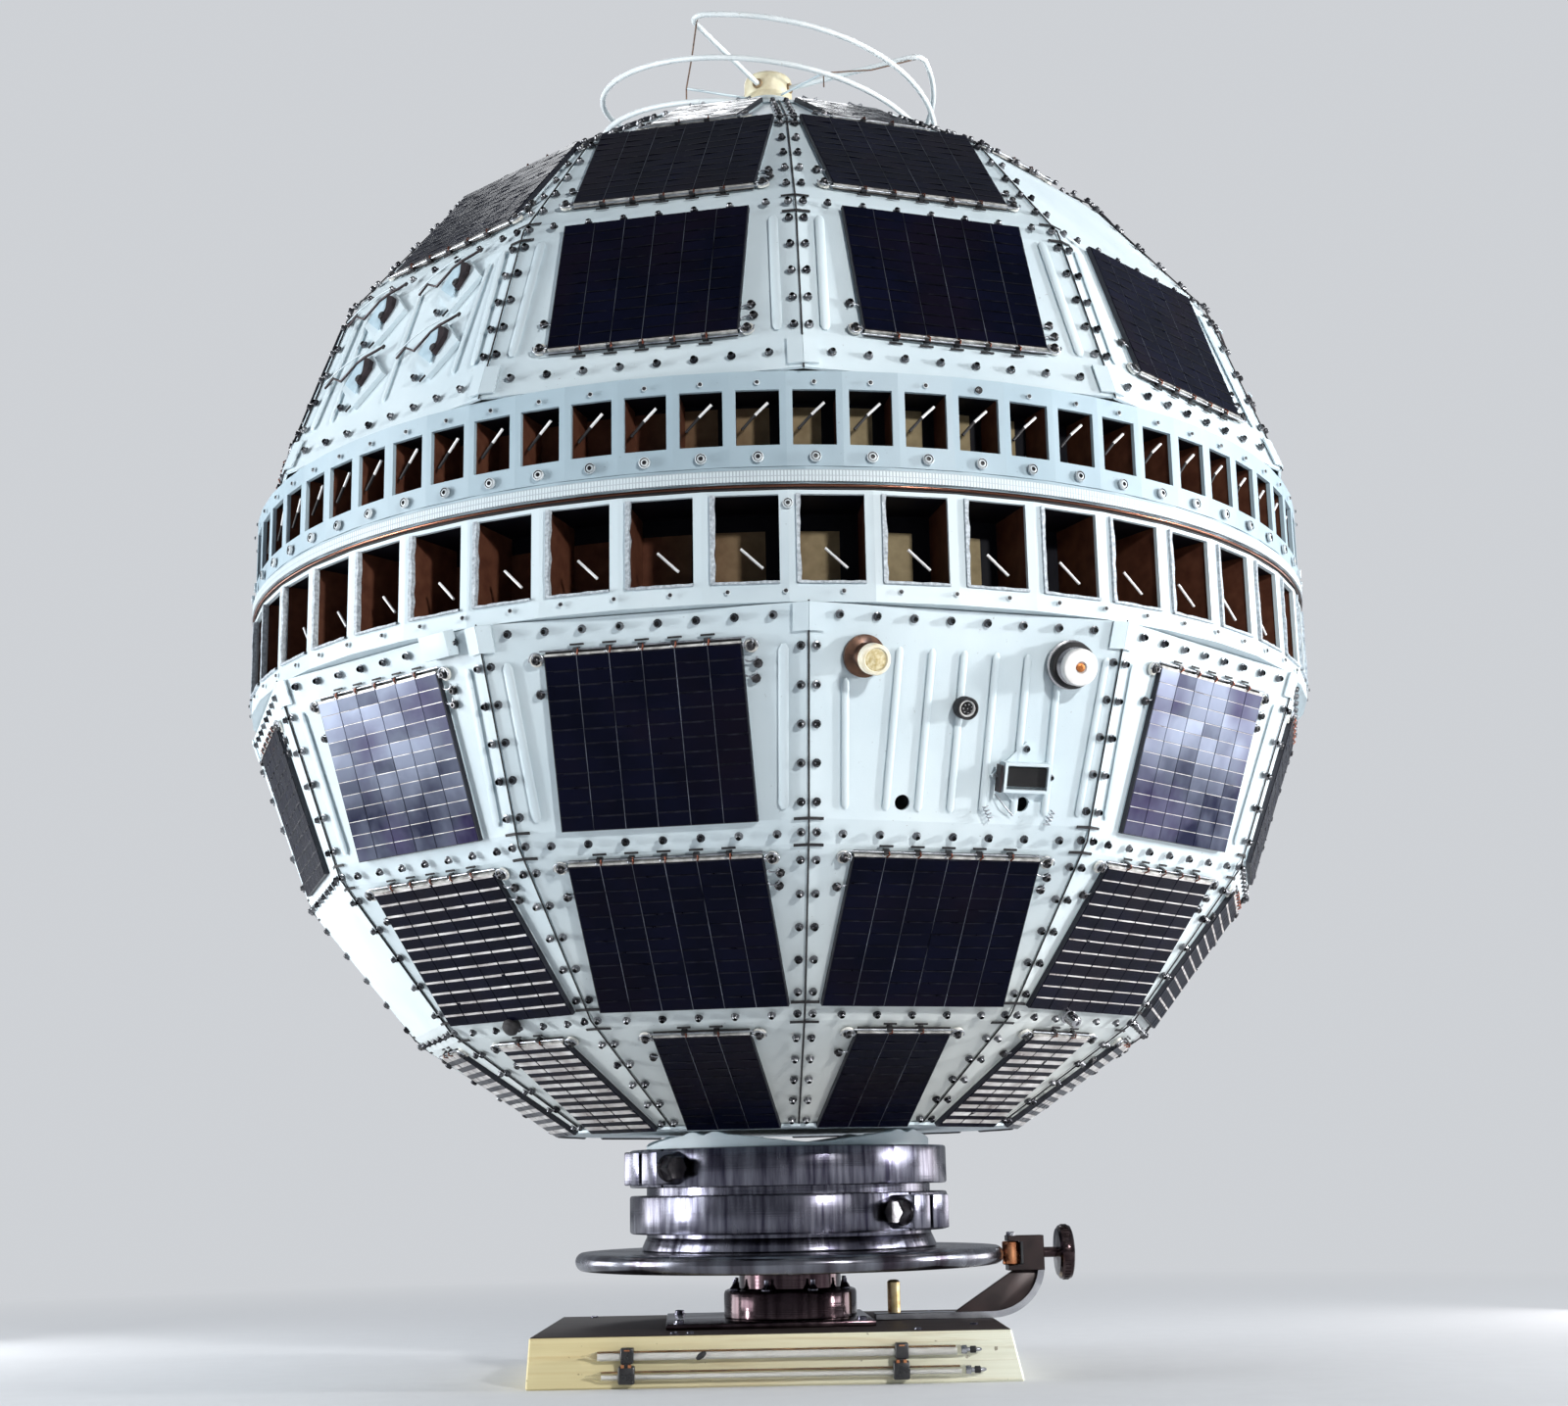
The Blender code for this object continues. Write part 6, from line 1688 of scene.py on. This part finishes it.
def pine():
    """Planed pine: fibres, late-wood rings and knots' flecks, paler towards the right, with the top near
    black.
    """
    finish = Finish("pine_board")
    angle = (0, 0, math.radians(-WOOD_TURN))
    board = finish.add("ShaderNodeMapping", {"Vector": finish.place, "Rotation": angle})
    along = finish.add("ShaderNodeVectorMath", [board, (0.9, 14, 16)], operation="MULTIPLY")
    bend = finish.noise(2.2, 2.0, place=along)
    rings = finish.noise(9.0, 3.0, place=along, Distortion=0.6)
    fibre = finish.add("ShaderNodeVectorMath", [board, (5, 420, 420)], operation="MULTIPLY")
    fibres = finish.noise(1.0, 3.0, place=fibre)
    late = rings.above(0.56, 0.13) * bend.above(0.50, 0.28)
    x, y, z = finish.apart()
    right_share = x.above(0.02, 0.34)
    yellow = finish.mix(fibres, (0.56, 0.47, 0.25), (0.72, 0.64, 0.38))
    pale = finish.mix(fibres, (0.72, 0.73, 0.60), (0.83, 0.85, 0.74))
    colour = finish.mix(right_share, yellow, pale)
    colour = finish.mix(late * (0.5 - 0.34 * right_share), colour, (0.46, 0.28, 0.10))
    dark_tone = finish.mix(finish.noise(35, 4), (0.010, 0.007, 0.008), (0.032, 0.020, 0.018))
    colour = finish.mix(z.above(WOOD_TOP - 0.0007, 0.0003), colour, dark_tone)
    fleck = finish.noise(150, 2).above(0.745, 0.04)
    colour = finish.mix(fleck * 0.7, colour, (0.10, 0.06, 0.03))
    return finish.set(Base_Color=colour, Roughness=0.52 + 0.14 * fibres,
                      Normal=finish.bump(fibres * 0.6 + late, 0.0006, 0.5), Specular_IOR_Level=0.3)


dress(pine(), "wood_base")
board = turn(WOOD_TURN) @ moved(WOOD_SHIFT, 0, WOOD_TOP)
board_screws = [board @ moved(x, y, -0.0004) for x,
                y in ((-0.0735, -0.112), (-0.0615, -0.113), (0.105, -0.116), (0.128, 0.090), (-0.150, 0.105),
                      (0.150, -0.070))]
add_shapes("board_screws", board_screws, bolt_shape(0.0030, 0.0018, 12, 1.1), polished_steel,
           body="base")


# The glass tubes and their clips
# Two sealed glass tubes lie in black spring clips on the front edge of the board: a white core
# and a brown thread in each, a drawn point at the left and a metal tip at the right.

TUBE_RADIUS, TUBE_LENGTH, TUBE_SPACING, TUBE_MIDDLE = 0.0035, 0.290, 0.014, 0.0165
TUBE_SHIFT, LOWER_TUBE_SHIFT = -0.0075, 0.0028
CLIP_WIDTH_OUT, CLIP_DEPTH_OUT, CLIP_HEIGHT_OUT = 0.012, 0.011, 0.0255
CLIP_INSETS = (("left", -1, 0.033), ("right", 1, 0.0586))
TUBE_SIDES, TUBE_POINT, TUBE_TIP = 40, 0.012, 0.015
BLOT_SIZE, BLOT_LEAN, BLOT_PLACE = (0.0045, 0.0016, 0.0022), -35, 0.30


def tube_glass():
    """Clear glass, a little rippled."""
    finish = Finish("clear_glass")
    ripple = finish.noise(60, 2)
    colour = finish.mix(ripple, (0.93, 0.93, 0.90), (0.98, 0.98, 0.96))
    return finish.set(Base_Color=colour, Roughness=0.02 + 0.04 * ripple, IOR=1.42, Transmission_Weight=1.0)


glass = tube_glass()
core_white = tarnished("core_white", (0.78, 0.76, 0.72), (0.88, 0.87, 0.85), 0.4, 90, metallic=0.0)
thread_brown = tarnished("thread_brown", (0.11, 0.05, 0.02), (0.34, 0.19, 0.08), 0.5, 120, metallic=0.0)
front = turn(WOOD_TURN) @ moved(TUBE_SHIFT, -WOOD_DEPTH / 2 - 0.0003 - CLIP_DEPTH_OUT / 2, TUBE_MIDDLE)
lying = tipped("Y")
half, r = TUBE_LENGTH / 2, TUBE_RADIUS
threads = []
tips, caps = bmesh.new(), bmesh.new()
for name, side, shift in (("tube_upper", 1, 0.0), ("tube_lower", -1, LOWER_TUBE_SHIFT)):
    place = front @ moved(shift, 0, side * TUBE_SPACING / 2) @ lying
    profile = [(0, -half), (r * 0.16, -half + 0.0006), (r * 0.22, -half + 0.004), (r * 0.55, -half + 0.008),
               (r * 0.88, -half + TUBE_POINT - 0.001), (r, -half + TUBE_POINT + 0.002),
               (r, half - TUBE_TIP - 0.002), (r * 0.9, half - TUBE_TIP), (r * 0.5, half - TUBE_TIP + 0.0015),
               (0, half - TUBE_TIP + 0.0018)]
    add_turned(f"{name}_glass", profile, place, glass, TUBE_SIDES, "base", 60, replaced=name)
    threads.append([place @ Vector((-r * 0.70, -r * 0.25, x))
                    for x in (-half + TUBE_POINT, 0, half - TUBE_TIP - 0.004)])
    placed_lathe(tips, [(0, half - TUBE_TIP), (r * 0.80, half - TUBE_TIP),
                        (r * 0.92, half - TUBE_TIP + 0.001), (r * 0.92, half - TUBE_TIP + 0.004),
                        (r * 0.5, half - TUBE_TIP + 0.0045), (r * 0.42, half - 0.0015), (r * 0.2, half),
                        (0, half)], 24, place)
    placed_lathe(caps, [(r * 0.62, half - 0.0085), (r * 0.72, half - 0.0080), (r * 0.72, half - 0.0045),
                        (r * 0.5, half - 0.0040)], 20, place)
core = [front @ Vector((x, 0, TUBE_SPACING / 2 - r * 0.16))
        for x in (-half + TUBE_POINT, 0, half - TUBE_TIP - 0.003)]
add_wires("tube_core", [core], r * 0.68, core_white, 14, "base")
thin_core = [point + Vector((LOWER_TUBE_SHIFT, 0, -TUBE_SPACING)) for point in core]
add_wires("tube_thin_core", [thin_core], r * 0.34, core_white, 10, "base")
add_wires("tube_threads", threads, r * 0.24, thread_brown, 8, "base")
add_mesh("tube_tips", tips, arm_chrome, "base")
add_mesh("tube_tip_bands", caps, slot_black, "base")
blot = bmesh.new()
mark = front @ moved(-half + BLOT_PLACE * TUBE_LENGTH, -r * 0.72, TUBE_SPACING / 2 - r * 0.2)
mark = mark @ tipped("Y", BLOT_LEAN)
bmesh.ops.create_icosphere(blot, subdivisions=2, radius=1, matrix=sized(mark, *BLOT_SIZE))
add_mesh("tube_label_blot", blot, slot_black, "base", 60)
clip_black = tarnished("clip_black", (0.008, 0.008, 0.009), (0.030, 0.029, 0.031), 0.22, 120, metallic=0.0)
finger_spots = []
for label, side, inset in CLIP_INSETS:
    clip = bmesh.new()
    middle = front @ moved(side * (half - inset), 0, 0)
    width, depth, height = CLIP_WIDTH_OUT, CLIP_DEPTH_OUT, CLIP_HEIGHT_OUT / 2
    beveled_box(clip, sized(middle @ moved(0.0006, 0, height * 0.56), width * 0.8, depth, height * 0.88),
                0.0012, 3)
    beveled_box(clip, sized(middle @ moved(0, 0, -height * 0.5), width, depth, height), 0.0014, 3)
    beveled_box(clip, sized(middle, width * 0.55, depth * 0.8, height * 1.2), 0.0004)
    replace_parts(add_mesh(f"tube_clip_{label}_body", clip, clip_black, "base"),
                f"tube_clip_{label}")
    facing = middle @ moved(0, -depth / 2, 0) @ tipped("X")
    for x in (-0.0026, 0.0026):
        finger_spots.append(sized(facing @ moved(x, 0, -0.0008), 0.0024, 0.0022, 0.0012))
    finger_spots.append(sized(facing @ moved(0.0006, height * 0.86, -0.0002), 0.0040, 0.0010, 0.0004))
add_tiles("clip_fingers", finger_spots, roller_copper, body="base")


# Small fittings on the ball's skin
# A painted bracket stands over a dark slot at the corner of one lower gore, and a black knob and
# a grey plug stand on the lowest fold.

BRACKET_AT, BRACKET_SIZE = (0.0760, 0.0075), (0.0270, 0.0170, 0.0090)
dress(polished("canister_alloy", (0.30, 0.30, 0.31), (0.48, 0.48, 0.50), 0.35), "canister")
bracket = bmesh.new()
place = on_facet(11, False, 0, *BRACKET_AT)
width, length, height = BRACKET_SIZE
beveled_box(bracket, sized(place @ moved(0, 0, height - 0.0012), width, length, 0.0018), 0.0005)
for side in (-1, 1):
    wall = place @ moved(side * (width / 2 - 0.001), 0, height / 2 - 0.0004)
    beveled_box(bracket, sized(wall, 0.0018, length, height), 0.0005)
add_mesh("corner_bracket", bracket, trim_paint)
block = bmesh.new()
beveled_box(block, sized(place @ moved(0, 0, height / 2 - 0.001), width - 0.005, length - 0.003,
                         height - 0.003), 0.0004)
add_mesh("corner_bracket_block", block, slot_black)
add_turned("fold_knob", mm((0, 0), (5.2, 0), (5.6, 1), (4.8, 2.2), (6, 3.4), (6.4, 6), (5.2, 8.4), (2, 9.4),
                           (0, 9.5)), on_facet(11, False, 1, -0.0005, facet_length(1, False) - 0.004),
           slot_black, 32)
add_turned("fold_plug", mm((0, 0), (6, 0), (6, 1.8), (4.6, 2.2), (4.6, 10), (3.8, 11.2), (1.8, 11.2),
                           (1.6, 9), (0, 9)), on_facet(2, False, 1, -0.0120, facet_length(1, False) - 0.003),
           socket_chrome, 32)
